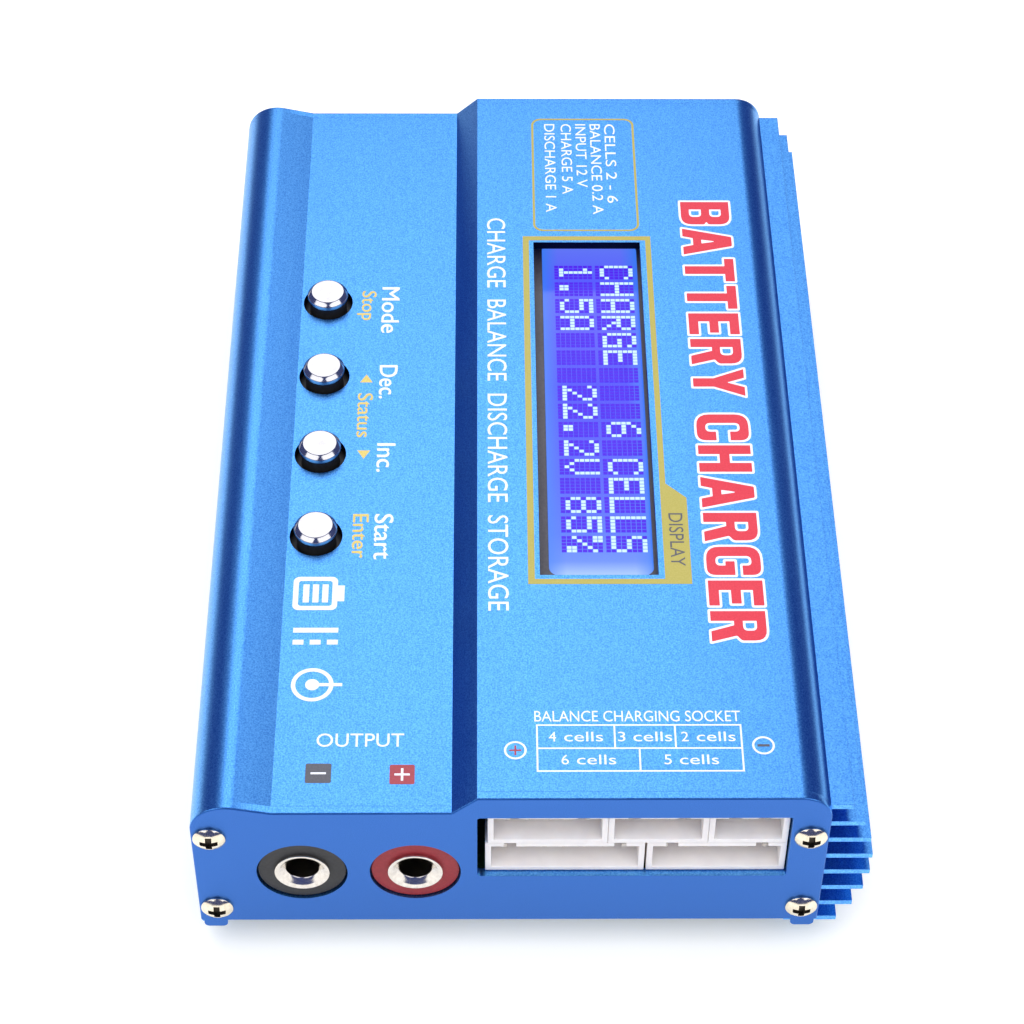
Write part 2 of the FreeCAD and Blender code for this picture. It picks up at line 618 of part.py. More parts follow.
def output_end_plate():
    body = plate_body("output_end_plate", CASE_END)
    holes = sketch_on(body, "output_plate_holes", "YZ_Plane")
    for across, up in SCREW_PLACES:
        circle(holes, across, up, "screw_radius + passing_gap")
    for name, across in OUTPUT_PLACES:
        circle(holes, across, OUTPUT_AXIS, "output_hole_radius")
    opening_end = f"(max({LOWER_END}; {UPPER_END}) + opening_end_gap)"
    opening_top = f"({ROW_UNDER} + 2*socket_height + opening_over_gap)"
    rounded_rectangle(holes, (OPENING_START, opening_end),
                      (f"({ROW_UNDER} - opening_under_gap)", opening_top), "opening_corner")
    pocket(body, "output_plate_openings", holes, side="Symmetric")
    round_plate_edge(body, "output_plate_edge", number_of("plate_thickness"))
    keep(body, "output_end_plate")


def input_end_plate():
    body = plate_body("input_end_plate", f"-{END}")
    holes = sketch_on(body, "input_plate_holes", "YZ_Plane")
    for across, up in SCREW_PLACES:
        circle(holes, across, up, "screw_radius + passing_gap")
    circle(holes, "jack_line", f"{BOARD_TOP} + jack_axis", "jack_radius + jack_gap")
    rectangle(holes, ("sensor_line - sensor_gap", "sensor_line + 3*pin_pitch + socket_ends + sensor_gap"),
              (f"{BOARD_TOP} - sensor_gap", f"{BOARD_TOP} + socket_height + sensor_gap"))
    pocket(body, "input_plate_openings", holes, side="Symmetric")
    round_plate_edge(body, "input_plate_edge", 0.0)
    keep(body, "input_end_plate")


# ---- Screws ----

def pan_screw(label, x, y, z, turn, length):
    """A pan-head screw with a cross recess. Its head's seat is at the given point."""
    head_blank = doc.addObject("Part::Cylinder", f"{label}_head_blank")
    head_blank.setExpression("Radius", bound("head_radius"))
    head_blank.setExpression("Height", bound("head_height"))
    dome = doc.addObject("Part::Sphere", f"{label}_dome")
    dome.setExpression("Radius", bound("head_dome"))
    dome.setExpression("Placement.Base.z", bound("head_height - head_dome"))
    head = doc.addObject("Part::MultiCommon", f"{label}_head")
    head.Shapes = [head_blank, dome]
    shank = doc.addObject("Part::Cylinder", f"{label}_shank")
    shank.setExpression("Radius", bound("screw_radius"))
    shank.setExpression("Height", bound(length))
    shank.setExpression("Placement.Base.z", bound(f"-({length})"))
    slots = []
    for name, sides in (("long", ("Length", "Width")), ("cross", ("Width", "Length"))):
        slot = doc.addObject("Part::Box", f"{label}_{name}_slot")
        for side, formula in zip(sides, ("recess_span", "recess_width")):
            slot.setExpression(side, bound(formula))
            slot.setExpression(f"Placement.Base.{'x' if side == 'Length' else 'y'}", bound(f"-{formula}/2"))
        slot.setExpression("Height", bound("recess_depth + overshoot"))
        slot.setExpression("Placement.Base.z", bound("head_height - recess_depth"))
        slots.append(slot)
    return place(cut(label, fuse(f"{label}_blank", head, shank), *slots), x, y, z, turn)


def plate_screws(label, x, turn):
    screws = [pan_screw(f"{label}_{index}", x, across, up, turn, "screw_length")
              for index, (across, up) in enumerate(SCREW_PLACES)]
    keep(group(label, screws), label, len(screws))


# ---- Output sockets ----

def output_sockets():
    flange_x = CASE_END
    neck_x = f"({flange_x} - insulator_flange)"
    back_x = f"({neck_x} - insulator_neck)"
    face_x = f"({END} - insulator_recess)"
    nut_x = f"({back_x} - nut_thickness)"
    tag_x = f"({nut_x} - tag_from_nut - tag_thickness)"
    nuts = []
    tags = []
    for name, y in OUTPUT_PLACES:
        label = f"{name}_insulator"
        plug = cylinder(f"{label}_plug", flange_x, y, OUTPUT_AXIS, "output_hole_radius - insulator_gap",
                        f"{face_x} - {flange_x}", POINTS_PLUS_X)
        flange = cylinder(f"{label}_flange", neck_x, y, OUTPUT_AXIS, "insulator_flange_radius",
                          "insulator_flange", POINTS_PLUS_X)
        neck = cylinder(f"{label}_neck", back_x, y, OUTPUT_AXIS, "insulator_neck_radius", "insulator_neck",
                        POINTS_PLUS_X)
        bore = cylinder(f"{label}_bore", f"{back_x} - overshoot", y, OUTPUT_AXIS, "sleeve_radius",
                        f"{face_x} - {back_x} + 2*overshoot", POINTS_PLUS_X)
        keep(cut(label, fuse(f"{label}_blank", plug, flange, neck), bore), f"{name}_output_insulator")

        label = f"{name}_sleeve"
        tube = cylinder(f"{label}_tube", f"{face_x} - sleeve_length", y, OUTPUT_AXIS, "sleeve_radius",
                        "sleeve_length", POINTS_PLUS_X)
        rim = cylinder(f"{label}_rim", face_x, y, OUTPUT_AXIS, "sleeve_flange_radius", "sleeve_flange",
                       POINTS_PLUS_X)
        mouth_x = f"({face_x} + sleeve_flange)"
        hole = cylinder(f"{label}_hole", f"{mouth_x} - sleeve_bore_depth", y, OUTPUT_AXIS,
                        "sleeve_bore_radius", "sleeve_bore_depth + overshoot", POINTS_PLUS_X)
        countersink = cone(f"{label}_countersink", f"{mouth_x} - sleeve_mouth_depth", y, OUTPUT_AXIS,
                           "sleeve_bore_radius", "sleeve_mouth_radius", "sleeve_mouth_depth", POINTS_PLUS_X)
        keep(cut(label, fuse(f"{label}_blank", tube, rim), hole, countersink), f"{name}_output_sleeve")

        prism = doc.addObject("Part::Prism", f"{name}_nut_blank")
        prism.Polygon = 6
        prism.setExpression("Circumradius", bound("nut_circle"))
        prism.setExpression("Height", bound("nut_thickness"))
        place(prism, nut_x, y, OUTPUT_AXIS, POINTS_PLUS_X)
        nut_bore = cylinder(f"{name}_nut_bore", f"{nut_x} - overshoot", y, OUTPUT_AXIS, "sleeve_radius",
                            "nut_thickness + 2*overshoot", POINTS_PLUS_X)
        nuts.append(cut(f"{name}_nut", prism, nut_bore))

        strip = box(f"{name}_tag_strip", (tag_x, f"{tag_x} + tag_thickness"),
                    (f"{y} - tag_half_width", f"{y} + tag_half_width"),
                    (BOARD_TOP, f"{OUTPUT_AXIS} + tag_half_width"))
        tag_bore = cylinder(f"{name}_tag_bore", f"{tag_x} - overshoot", y, OUTPUT_AXIS, "sleeve_radius",
                            "tag_thickness + 2*overshoot", POINTS_PLUS_X)
        tags.append(cut(f"{name}_tag", strip, tag_bore))
    keep(group("output_nuts", nuts), "output_nuts", len(nuts))
    keep(group("output_solder_tags", tags), "output_solder_tags", len(tags))


# ---- Pin sockets ----

def pin_socket(label, pins, y, z, face_x, facing):
    """A shrouded socket whose mouth looks along X, and its square pins. facing is 1 or -1."""
    def depth_range(near, far):
        ends = [f"({face_x} - {facing}*({near}))", f"({face_x} - {facing}*({far}))"]
        return tuple(ends[::-facing])

    width = socket_width(pins)
    blank = box(f"{label}_blank", depth_range("0", "socket_depth"), (y, f"{y} + {width}"),
                (z, f"{z} + socket_height"))
    cavity = box(f"{label}_cavity", depth_range("-overshoot", "cavity_depth"),
                 (f"{y} + socket_wall", f"{y} + {width} - socket_wall"),
                 (f"{z} + socket_wall", f"{z} + socket_height - socket_wall"))
    notches = []
    for index, start in enumerate((f"{y} + notch_inset", f"{y} + {width} - notch_inset - notch_width")):
        notches.append(box(f"{label}_notch_{index}", depth_range("-overshoot", "notch_depth"),
                           (start, f"{start} + notch_width"),
                           (f"{z} + socket_height - 2*socket_wall", f"{z} + socket_height + overshoot")))
    housing = cut(f"{label}_housing", blank, cavity, *notches)
    posts = []
    for index in range(pins):
        centre = f"{y} + (pin_pitch + socket_ends)/2 + {index}*pin_pitch"
        posts.append(box(f"{label}_pin_{index}", depth_range("pin_shy", "cavity_depth"),
                         (f"{centre} - pin_width/2", f"{centre} + pin_width/2"),
                         (f"{z} + pin_height - pin_width/2", f"{z} + pin_height + pin_width/2")))
    return housing, posts


def balance_sockets():
    all_pins = []
    for level, layout in enumerate((LOWER_LAYOUT, UPPER_LAYOUT)):
        under = f"({ROW_UNDER} + {level}*socket_height)"
        for name, pins, start in layout:
            housing, posts = pin_socket(f"{name}_balance", pins, start, under, SOCKET_FACE, 1)
            keep(housing, f"{name}_balance_socket")
            all_pins += posts
    keep(group("balance_pins", all_pins), "balance_pins", len(all_pins))
    keep(box("balance_board", (f"{SOCKET_BACK} - board_thickness", SOCKET_BACK),
             ("row_start - overshoot", LOWER_END), (BOARD_TOP, f"{ROW_UNDER} + 2*socket_height")),
         "balance_board")


# ---- Main board, its posts and screws ----

def main_board():
    board_end = f"({CASE_END} - board_plate_gap)"
    through = "board_thickness + 2*overshoot"
    blank = box("main_board_blank", (f"-{board_end}", board_end),
                ("board_side", f"{FIN_FACE} - board_wall_gap"), (BOARD_UNDER, BOARD_TOP))
    notch = box("main_board_notch", (f"{END} - output_notch", f"{board_end} + overshoot"),
                ("board_side - overshoot", f"{OPENING_START} - overshoot"),
                (f"{BOARD_UNDER} - overshoot", f"{BOARD_TOP} + overshoot"))
    holes = [cylinder(f"main_board_hole_{index}", x, y, f"{BOARD_UNDER} - overshoot",
                      "screw_radius + passing_gap", through) for index, (x, y) in enumerate(post_places())]
    keep(cut("main_board", blank, notch, *holes), "main_board")

    posts = []
    screws = []
    bore_length = "(board_screw_length - board_thickness + overshoot/2)"
    for index, (x, y) in enumerate(post_places()):
        shaft = cylinder(f"post_{index}_shaft", x, y, COVER_TOP, "post_radius",
                         f"{BOARD_UNDER} - {COVER_TOP}")
        spigot = cylinder(f"post_{index}_spigot", x, y, "foot_height", "spigot_radius", "cover_thickness")
        bore = cylinder(f"post_{index}_bore", x, y, f"{BOARD_UNDER} - {bore_length}",
                        "screw_radius + thread_gap", f"{bore_length} + overshoot")
        posts.append(cut(f"post_{index}", fuse(f"post_{index}_blank", shaft, spigot), bore))
        screws.append(pan_screw(f"board_screw_{index}", x, y, BOARD_TOP, POINTS_UP, "board_screw_length"))
    keep(group("board_posts", posts), "board_posts", len(posts))
    keep(group("board_screws", screws), "board_screws", len(screws))


# ---- Keys ----

def key_cap(name, x):
    """A hollow plated cap, turned about its plunger's axis."""
    body = place(doc.addObject("PartDesign::Body", f"{name}_key_cap"), x, "key_line", "0")
    profile = sketch_on(body, f"{name}_cap_profile", "XZ_Plane")
    flange_top = f"({LOW} - skin - cap_flange_gap)"
    flange_under = f"({flange_top} - cap_flange_height)"
    socket_top = f"({CAP_TOP} - cap_roof)"
    outline(profile, [
        ("0", CAP_TOP),
        ("0", socket_top),
        ("plunger_radius", socket_top),
        ("plunger_radius", flange_under),
        ("cap_flange_radius", flange_under),
        ("cap_flange_radius", flange_top),
        ("cap_stem_radius", flange_top),
        ("cap_stem_radius", f"{CAP_TOP} - cap_height"),
        ("cap_radius", f"{CAP_TOP} - cap_height"),
        ("cap_radius", f"{CAP_TOP} - cap_shoulder"),
        ("cap_flat_radius", CAP_TOP)])
    turned = body.newObject("PartDesign::Revolution", f"{name}_cap_turning")
    turned.Profile = profile
    turned.ReferenceAxis = (profile, ["V_Axis"])
    turned.Angle = 360
    keep(body, f"{name}_key_cap")


def keys():
    switches = []
    plunger_under = f"({BOARD_TOP} + switch_height - plunger_depth)"
    for name, x in zip(KEY_NAMES, KEY_PLACES):
        key_cap(name, x)
        keep(cylinder(f"{name}_key_plunger", x, "key_line", plunger_under, "plunger_radius",
                      f"{CAP_TOP} - cap_roof - {plunger_under}"), f"{name}_key_plunger")
        block = box(f"{name}_switch_block", (f"{x} - switch_side/2", f"{x} + switch_side/2"),
                    ("key_line - switch_side/2", "key_line + switch_side/2"),
                    (BOARD_TOP, f"{BOARD_TOP} + switch_height"))
        well = cylinder(f"{name}_switch_well", x, "key_line", f"{plunger_under} - switch_travel_room",
                        "plunger_radius + plunger_gap", "plunger_depth + switch_travel_room + overshoot")
        switches.append(cut(f"{name}_switch", block, well))
    keep(group("key_switches", switches), "key_switches", len(switches))


# ---- Display ----

def display():
    half_length = "display_board_length/2"
    half_width = "display_board_width/2"
    corners = [(f"({DISPLAY_X} + {along}*({half_length} - display_hole_inset))",
                f"(display_line + {across}*({half_width} - display_hole_inset))")
               for along in (-1, 1) for across in (-1, 1)]
    blank = box("display_board_blank", (f"{DISPLAY_X} - {half_length}", f"{DISPLAY_X} + {half_length}"),
                (f"display_line - {half_width}", f"display_line + {half_width}"),
                (DISPLAY_UNDER, DISPLAY_TOP))
    holes = [cylinder(f"display_board_hole_{index}", x, y, f"{DISPLAY_UNDER} - overshoot",
                      "screw_radius + passing_gap", "board_thickness + 2*overshoot")
             for index, (x, y) in enumerate(corners)]
    keep(cut("display_board", blank, *holes), "display_board")

    spacers = []
    screws = []
    for index, (x, y) in enumerate(corners):
        tube = cylinder(f"spacer_{index}_tube", x, y, BOARD_TOP, "spacer_radius",
                        f"{DISPLAY_UNDER} - {BOARD_TOP}")
        bore = cylinder(f"spacer_{index}_bore", x, y, f"{BOARD_TOP} - overshoot", "screw_radius + thread_gap",
                        f"{DISPLAY_UNDER} - {BOARD_TOP} + 2*overshoot")
        spacers.append(cut(f"spacer_{index}", tube, bore))
        screws.append(pan_screw(f"display_screw_{index}", x, y, DISPLAY_TOP, POINTS_UP, "board_screw_length"))
    keep(group("display_spacers", spacers), "display_spacers", len(spacers))
    keep(group("display_screws", screws), "display_screws", len(screws))

    body = place(doc.addObject("PartDesign::Body", "display_bezel"), DISPLAY_X, "display_line", DISPLAY_TOP)
    frame = sketch_on(body, "bezel_outline", "XY_Plane")
    rectangle(frame, ("-bezel_length/2", "bezel_length/2"), ("-bezel_width/2", "bezel_width/2"))
    pad(body, "bezel_block", frame, f"{BEZEL_TOP} - {DISPLAY_TOP}")
    inside = sketch_on(body, "bezel_inside", "XY_Plane")
    rectangle(inside, ("-bezel_length/2 + bezel_sheet", "bezel_length/2 - bezel_sheet"),
              ("-bezel_width/2 + bezel_sheet", "bezel_width/2 - bezel_sheet"))
    pocket(body, "bezel_hollow", inside, "backlight_height + glass_thickness", upwards=True)
    view = sketch_on(body, "bezel_view", "XY_Plane")
    rounded_rectangle(view, ("-view_length/2", "view_length/2"),
                      ("-view_width/2 - view_shift", "view_width/2 - view_shift"), "view_corner")
    pocket(body, "bezel_window", view, upwards=True)
    keep(body, "display_bezel")

    inner_x = "(bezel_length/2 - bezel_sheet - glass_gap)"
    inner_y = "(bezel_width/2 - bezel_sheet - glass_gap)"
    for label, under, top in (("display_backlight", DISPLAY_TOP, GLASS_UNDER),
                              ("display_glass", GLASS_UNDER, f"{GLASS_UNDER} + glass_thickness")):
        keep(box(label, (f"{DISPLAY_X} - {inner_x}", f"{DISPLAY_X} + {inner_x}"),
                 (f"display_line - {inner_y}", f"display_line + {inner_y}"), (under, top)), label)

    pins = []
    pin_y = f"(display_line - {half_width} + header_side)"
    for index in range(HEADER_PINS):
        pin_x = f"({DISPLAY_X} + {index - (HEADER_PINS - 1) / 2}*header_pitch)"
        pins.append(box(f"header_pin_{index}", (f"{pin_x} - pin_width/2", f"{pin_x} + pin_width/2"),
                        (f"{pin_y} - pin_width/2", f"{pin_y} + pin_width/2"), (BOARD_TOP, DISPLAY_UNDER)))
    keep(group("display_header_pins", pins), "display_header_pins", len(pins))


# ---- Input end ----

def supply_jack():
    axis = f"({BOARD_TOP} + jack_axis)"
    block = box("jack_block", (f"-{CASE_END}", f"-{CASE_END} + jack_block_length"),
                ("jack_line - jack_width/2", "jack_line + jack_width/2"),
                (BOARD_TOP, f"{BOARD_TOP} + jack_block_height"))
    barrel = cylinder("jack_barrel", f"-{END}", "jack_line", axis, "jack_radius",
                      "plate_thickness + overshoot", POINTS_PLUS_X)
    bore = cylinder("jack_bore", f"-{END} - overshoot", "jack_line", axis, "jack_bore_radius",
                    "jack_bore_depth + overshoot", POINTS_PLUS_X)
    keep(cut("supply_jack", fuse("jack_blank", block, barrel), bore), "supply_jack")
    keep(cylinder("supply_jack_pin", f"-{END} + jack_pin_shy", "jack_line", axis, "jack_pin_radius",
                  "jack_bore_depth - jack_pin_shy", POINTS_PLUS_X), "supply_jack_pin")


def sensor_socket():
    housing, posts = pin_socket("sensor_socket", 3, "sensor_line", BOARD_TOP, f"(-{END} + socket_recess)", -1)
    keep(housing, "sensor_socket")
    keep(group("sensor_socket_pins", posts), "sensor_socket_pins", len(posts))


# ---- Power stage along the fin wall ----

def power_stage():
    under = f"({BOARD_TOP} + leg_height)"
    back = f"({FIN_FACE} - pad_thickness)"
    transistors = []
    for index in range(2 * TRANSISTOR_PAIRS):
        x = f"({DISPLAY_X} + {index - TRANSISTOR_PAIRS + 0.5}*transistor_pitch)"
        block = box(f"transistor_{index}_block", (f"{x} - transistor_width/2", f"{x} + transistor_width/2"),
                    (TRANSISTOR_FACE, back), (under, f"{under} + transistor_height"))
        legs = []
        for leg in (-1, 0, 1):
            leg_x = f"({x} + {leg}*leg_spacing)"
            legs.append(box(f"transistor_{index}_leg_{leg}",
                            (f"{leg_x} - leg_width/2", f"{leg_x} + leg_width/2"),
                            (f"{TRANSISTOR_FACE} + leg_width", f"{TRANSISTOR_FACE} + 2*leg_width"),
                            (BOARD_TOP, under)))
        transistors.append(fuse(f"transistor_{index}", block, *legs))
    keep(group("power_transistors", transistors), "power_transistors", len(transistors))

    half_length = f"({TRANSISTOR_PAIRS - 0.5}*transistor_pitch + transistor_width/2)"
    pad_blank = box("thermal_pad_blank", (f"{DISPLAY_X} - {half_length}", f"{DISPLAY_X} + {half_length}"),
                    (back, FIN_FACE), (under, f"{under} + transistor_height"))
    pad_holes = [cylinder(f"thermal_pad_hole_{index}", x, f"{back} - overshoot", CLAMP_AXIS,
                          "screw_radius + passing_gap", "pad_thickness + 2*overshoot", POINTS_PLUS_Y)
                 for index, x in enumerate(CLAMP_PLACES)]
    keep(cut("thermal_pad", pad_blank, *pad_holes), "thermal_pad")

    bar_face = f"({TRANSISTOR_FACE} - clamp_thickness)"
    bar_half = f"({half_length} + clamp_overhang)"
    bar = box("clamp_bar_blank", (f"{DISPLAY_X} - {bar_half}", f"{DISPLAY_X} + {bar_half}"),
              (bar_face, TRANSISTOR_FACE),
              (f"{BOARD_TOP} + clamp_rise", f"{BOARD_TOP} + clamp_rise + clamp_height"))
    bar_holes = [cylinder(f"clamp_bar_hole_{index}", x, f"{bar_face} - overshoot", CLAMP_AXIS,
                          "screw_radius + passing_gap", "clamp_thickness + 2*overshoot", POINTS_PLUS_Y)
                 for index, x in enumerate(CLAMP_PLACES)]
    keep(cut("clamp_bar", bar, *bar_holes), "clamp_bar")
    length = f"{FIN_FACE} + clamp_thread - cover_gap - {bar_face}"
    screws = [pan_screw(f"clamp_screw_{index}", x, bar_face, CLAMP_AXIS, POINTS_MINUS_Y, length)
              for index, x in enumerate(CLAMP_PLACES)]
    keep(group("clamp_screws", screws), "clamp_screws", len(screws))


# ---- Other components on the main board ----

def choke():
    x = f"({END} - choke_from_face)"
    levels = (BOARD_TOP, f"({BOARD_TOP} + choke_flange)", f"({BOARD_TOP} + choke_flange + choke_window)")
    base = cylinder("choke_base", x, "choke_line", levels[0], "choke_radius", "choke_flange")
    neck = cylinder("choke_neck", x, "choke_line", levels[1], "choke_neck_radius", "choke_window")
    lid = cylinder("choke_lid", x, "choke_line", levels[2], "choke_radius", "choke_flange")
    keep(fuse("choke_core", base, neck, lid), "choke_core")
    coil = cylinder("choke_coil", x, "choke_line", levels[1], "choke_winding_radius", "choke_window")
    hole = cylinder("choke_coil_hole", x, "choke_line", f"{levels[1]} - overshoot", "choke_neck_radius",
                    "choke_window + 2*overshoot")
    keep(cut("choke_winding", coil, hole), "choke_winding")


def capacitors():
    for name, x in (("input", f"(-{END} + input_cans_from_face)"),
                    ("output", f"({END} - output_cans_from_face)")):
        label = f"{name}_capacitors"
        cans = [cylinder(f"{label}_{index}", x, f"{name}_cans_line + {index}*{name}_cans_pitch", BOARD_TOP,
                         "can_radius", "can_height") for index in range(2)]
        keep(group(label, cans), label, len(cans))


def buzzer():
    x = f"(-{END} + buzzer_from_face)"
    can = cylinder("buzzer_can", x, "buzzer_line", BOARD_TOP, "buzzer_radius", "buzzer_height")
    sound_hole = cylinder("buzzer_sound_hole", x, "buzzer_line", f"{BOARD_TOP} + buzzer_height/2",
                          "buzzer_hole", "buzzer_height")
    keep(cut("buzzer", can, sound_hole), "buzzer")


def chip(label, along, across, length, width, height):
    """A flat package on the main board. along and across are its middle, counted from the display's."""
    return box(label, (f"{DISPLAY_X} + {along - length / 2}", f"{DISPLAY_X} + {along + length / 2}"),
               (f"display_line + {across - width / 2}", f"display_line + {across + width / 2}"),
               (BOARD_TOP, f"{BOARD_TOP} + {height}"))


def chips():
    keep(chip("microcontroller", 6.0, 0.0, 12.0, 12.0, 1.4), "microcontroller")
    keep(chip("quartz_crystal", -8.0, 0.0, 4.6, 11.2, 3.4), "quartz_crystal")
    small = [chip(f"small_chip_{along}_{across}", along, across, 5.0, 4.0, 1.5)
             for along in (-22.0, 22.0) for across in (-6.0, 6.0)]
    keep(group("small_chips", small), "small_chips", len(small))


upper_case()
floor_cover()
rubber_feet()
output_end_plate()
input_end_plate()
plate_screws("output_plate_screws", END, POINTS_PLUS_X)
plate_screws("input_plate_screws", f"-{END}", POINTS_MINUS_X)
output_sockets()
balance_sockets()
main_board()
keys()
display()
supply_jack()
sensor_socket()
power_stage()
choke()
capacitors()
buzzer()
chips()
doc.recompute()

failed = [item.Name for item in doc.Objects if {"Invalid", "Error"} & set(item.State)]
if failed:
    raise RuntimeError(f"failed objects: {failed}")
for item, solids in nodes:
    shape = item.Shape
    if shape.isNull() or not shape.isValid() or len(shape.Solids) != solids:
        raise RuntimeError(f"{item.Label} is not {solids} sound solid(s)")
for item, solids in nodes:
    item.Shape.exportStep(f"parts/{item.Label}.step")
print(f"{len(nodes)} sub-parts, {sum(solids for item, solids in nodes)} solids")
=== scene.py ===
import json
import math
import bpy
from mathutils import Euler, Matrix, Vector

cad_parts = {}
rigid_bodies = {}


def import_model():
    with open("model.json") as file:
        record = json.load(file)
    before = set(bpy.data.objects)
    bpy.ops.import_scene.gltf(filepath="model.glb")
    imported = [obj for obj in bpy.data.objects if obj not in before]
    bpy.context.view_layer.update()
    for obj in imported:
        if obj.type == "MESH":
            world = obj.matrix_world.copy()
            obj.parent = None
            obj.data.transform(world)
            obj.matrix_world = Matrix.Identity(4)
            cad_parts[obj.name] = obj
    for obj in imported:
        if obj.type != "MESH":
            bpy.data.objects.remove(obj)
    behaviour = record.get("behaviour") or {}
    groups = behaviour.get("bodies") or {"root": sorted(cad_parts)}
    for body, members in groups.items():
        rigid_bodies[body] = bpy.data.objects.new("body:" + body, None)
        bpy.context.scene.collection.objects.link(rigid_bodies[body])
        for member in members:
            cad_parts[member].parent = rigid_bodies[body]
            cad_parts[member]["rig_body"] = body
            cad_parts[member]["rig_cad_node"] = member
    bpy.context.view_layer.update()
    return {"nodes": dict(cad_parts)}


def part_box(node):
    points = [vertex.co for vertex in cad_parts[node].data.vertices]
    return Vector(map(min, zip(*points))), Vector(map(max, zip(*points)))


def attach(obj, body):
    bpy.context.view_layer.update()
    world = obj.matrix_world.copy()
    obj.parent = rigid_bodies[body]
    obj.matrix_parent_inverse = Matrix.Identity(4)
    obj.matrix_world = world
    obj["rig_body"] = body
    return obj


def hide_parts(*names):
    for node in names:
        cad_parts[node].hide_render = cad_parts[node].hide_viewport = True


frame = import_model()
nodes = frame["nodes"]


# ---- Upper case ----
# One aluminium extrusion with its fins, sawn to length, machined for the window and the keys, bead
# blasted and dyed blue. The end plates' screws run into its channels.

def select_only(piece):
    bpy.ops.object.select_all(action="DESELECT")
    piece.select_set(True)
    bpy.context.view_layer.objects.active = piece


def apply_modifier(piece, kind, **settings):
    """Adds a modifier, sets it up and applies it."""
    select_only(piece)
    bpy.ops.object.modifier_add(type=kind)
    modifier = piece.modifiers[-1]
    for name, value in settings.items():
        setattr(modifier, name, value)
    bpy.ops.object.modifier_apply(modifier=modifier.name)


SHARP_ANGLE = 35.0
FLAT_ANGLE = 0.2
SAME_POINT = 2e-7


def broken_edges(node, edge, segments=2, smooth_under=SHARP_ANGLE):
    """A copy of a CAD piece whose sharp edges are broken by a fine bevel. It stands for that piece."""
    piece = nodes[node].copy()
    piece.data = nodes[node].data.copy()
    bpy.context.scene.collection.objects.link(piece)
    del piece["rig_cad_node"]
    piece.name = f"{node}_finished"
    select_only(piece)
    bpy.ops.mesh.customdata_custom_splitnormals_clear()
    bpy.ops.object.mode_set(mode="EDIT")
    bpy.ops.mesh.select_all(action="SELECT")
    bpy.ops.mesh.remove_doubles(threshold=SAME_POINT)
    bpy.ops.mesh.mark_sharp(clear=True)
    bpy.ops.mesh.dissolve_limited(angle_limit=math.radians(FLAT_ANGLE))
    bpy.ops.object.mode_set(mode="OBJECT")
    apply_modifier(piece, "BEVEL", width=edge, segments=segments, limit_method="ANGLE",
                   angle_limit=math.radians(SHARP_ANGLE), use_clamp_overlap=True)
    select_only(piece)
    bpy.ops.object.shade_smooth_by_angle(angle=math.radians(smooth_under))
    apply_modifier(piece, "WEIGHTED_NORMAL", keep_sharp=True)
    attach(piece, nodes[node]["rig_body"])
    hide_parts(node)
    return piece


def paint(piece, material):
    """Gives a piece one material all over."""
    piece.data.materials.clear()
    piece.data.materials.append(material)


def surface(name, metallic, coat=0.0):
    """A new material with its shader and the tools to add to it."""
    material = bpy.data.materials.new(name)
    material.use_nodes = True
    tree = material.node_tree
    shader = tree.nodes["Principled BSDF"]
    shader.inputs["Metallic"].default_value = metallic
    shader.inputs["Coat Weight"].default_value = coat
    return material, tree, shader


NOISE_ROUGHNESS = 0.55


def noise_on(tree, scale, stretch=(1.0, 1.0, 1.0), detail=3.0):
    """Noise in the object's own coordinates, in features per metre."""
    place = tree.nodes.new("ShaderNodeTexCoord")
    mapping = tree.nodes.new("ShaderNodeMapping")
    mapping.inputs["Scale"].default_value = stretch
    noise = tree.nodes.new("ShaderNodeTexNoise")
    noise.inputs["Scale"].default_value = scale
    noise.inputs["Detail"].default_value = detail
    noise.inputs["Roughness"].default_value = NOISE_ROUGHNESS
    tree.links.new(place.outputs["Object"], mapping.inputs["Vector"])
    tree.links.new(mapping.outputs["Vector"], noise.inputs["Vector"])
    return noise.outputs["Fac"]


def ramp_on(tree, value, stops):
    """Colours at places along a value from 0 to 1."""
    ramp = tree.nodes.new("ShaderNodeValToRGB")
    for index, (position, colour) in enumerate(stops):
        if index < 2:
            stop = ramp.color_ramp.elements[index]
            stop.position = position
        else:
            stop = ramp.color_ramp.elements.new(position)
        stop.color = (*colour, 1.0)
    tree.links.new(value, ramp.inputs["Fac"])
    return ramp.outputs["Color"]


def range_on(tree, value, low, high, to_low, to_high):
    """A value moved from one range to another."""
    change = tree.nodes.new("ShaderNodeMapRange")
    for name, number in (("From Min", low), ("From Max", high), ("To Min", to_low), ("To Max", to_high)):
        change.inputs[name].default_value = number
    tree.links.new(value, change.inputs["Value"])
    return change.outputs["Result"]


def relief_on(tree, shader, height, depth, strength):
    """Relief of a given depth in metres."""
    bump = tree.nodes.new("ShaderNodeBump")
    bump.inputs["Distance"].default_value = depth
    bump.inputs["Strength"].default_value = strength
    tree.links.new(height, bump.inputs["Height"])
    tree.links.new(bump.outputs["Normal"], shader.inputs["Normal"])


METAL = 1.0
NOT_METAL = 0.0
NOISE_LOW = 0.3
NOISE_HIGH = 0.7
DIE_LINES = 420.0
DIE_LINE_STRETCH = (0.03, 1.0, 1.0)
DIE_LINE_SHARE = 0.22
DYE_LOW = 0.42
DYE_HIGH = 0.80
DYE_GLOSS_CHANGE = 0.03


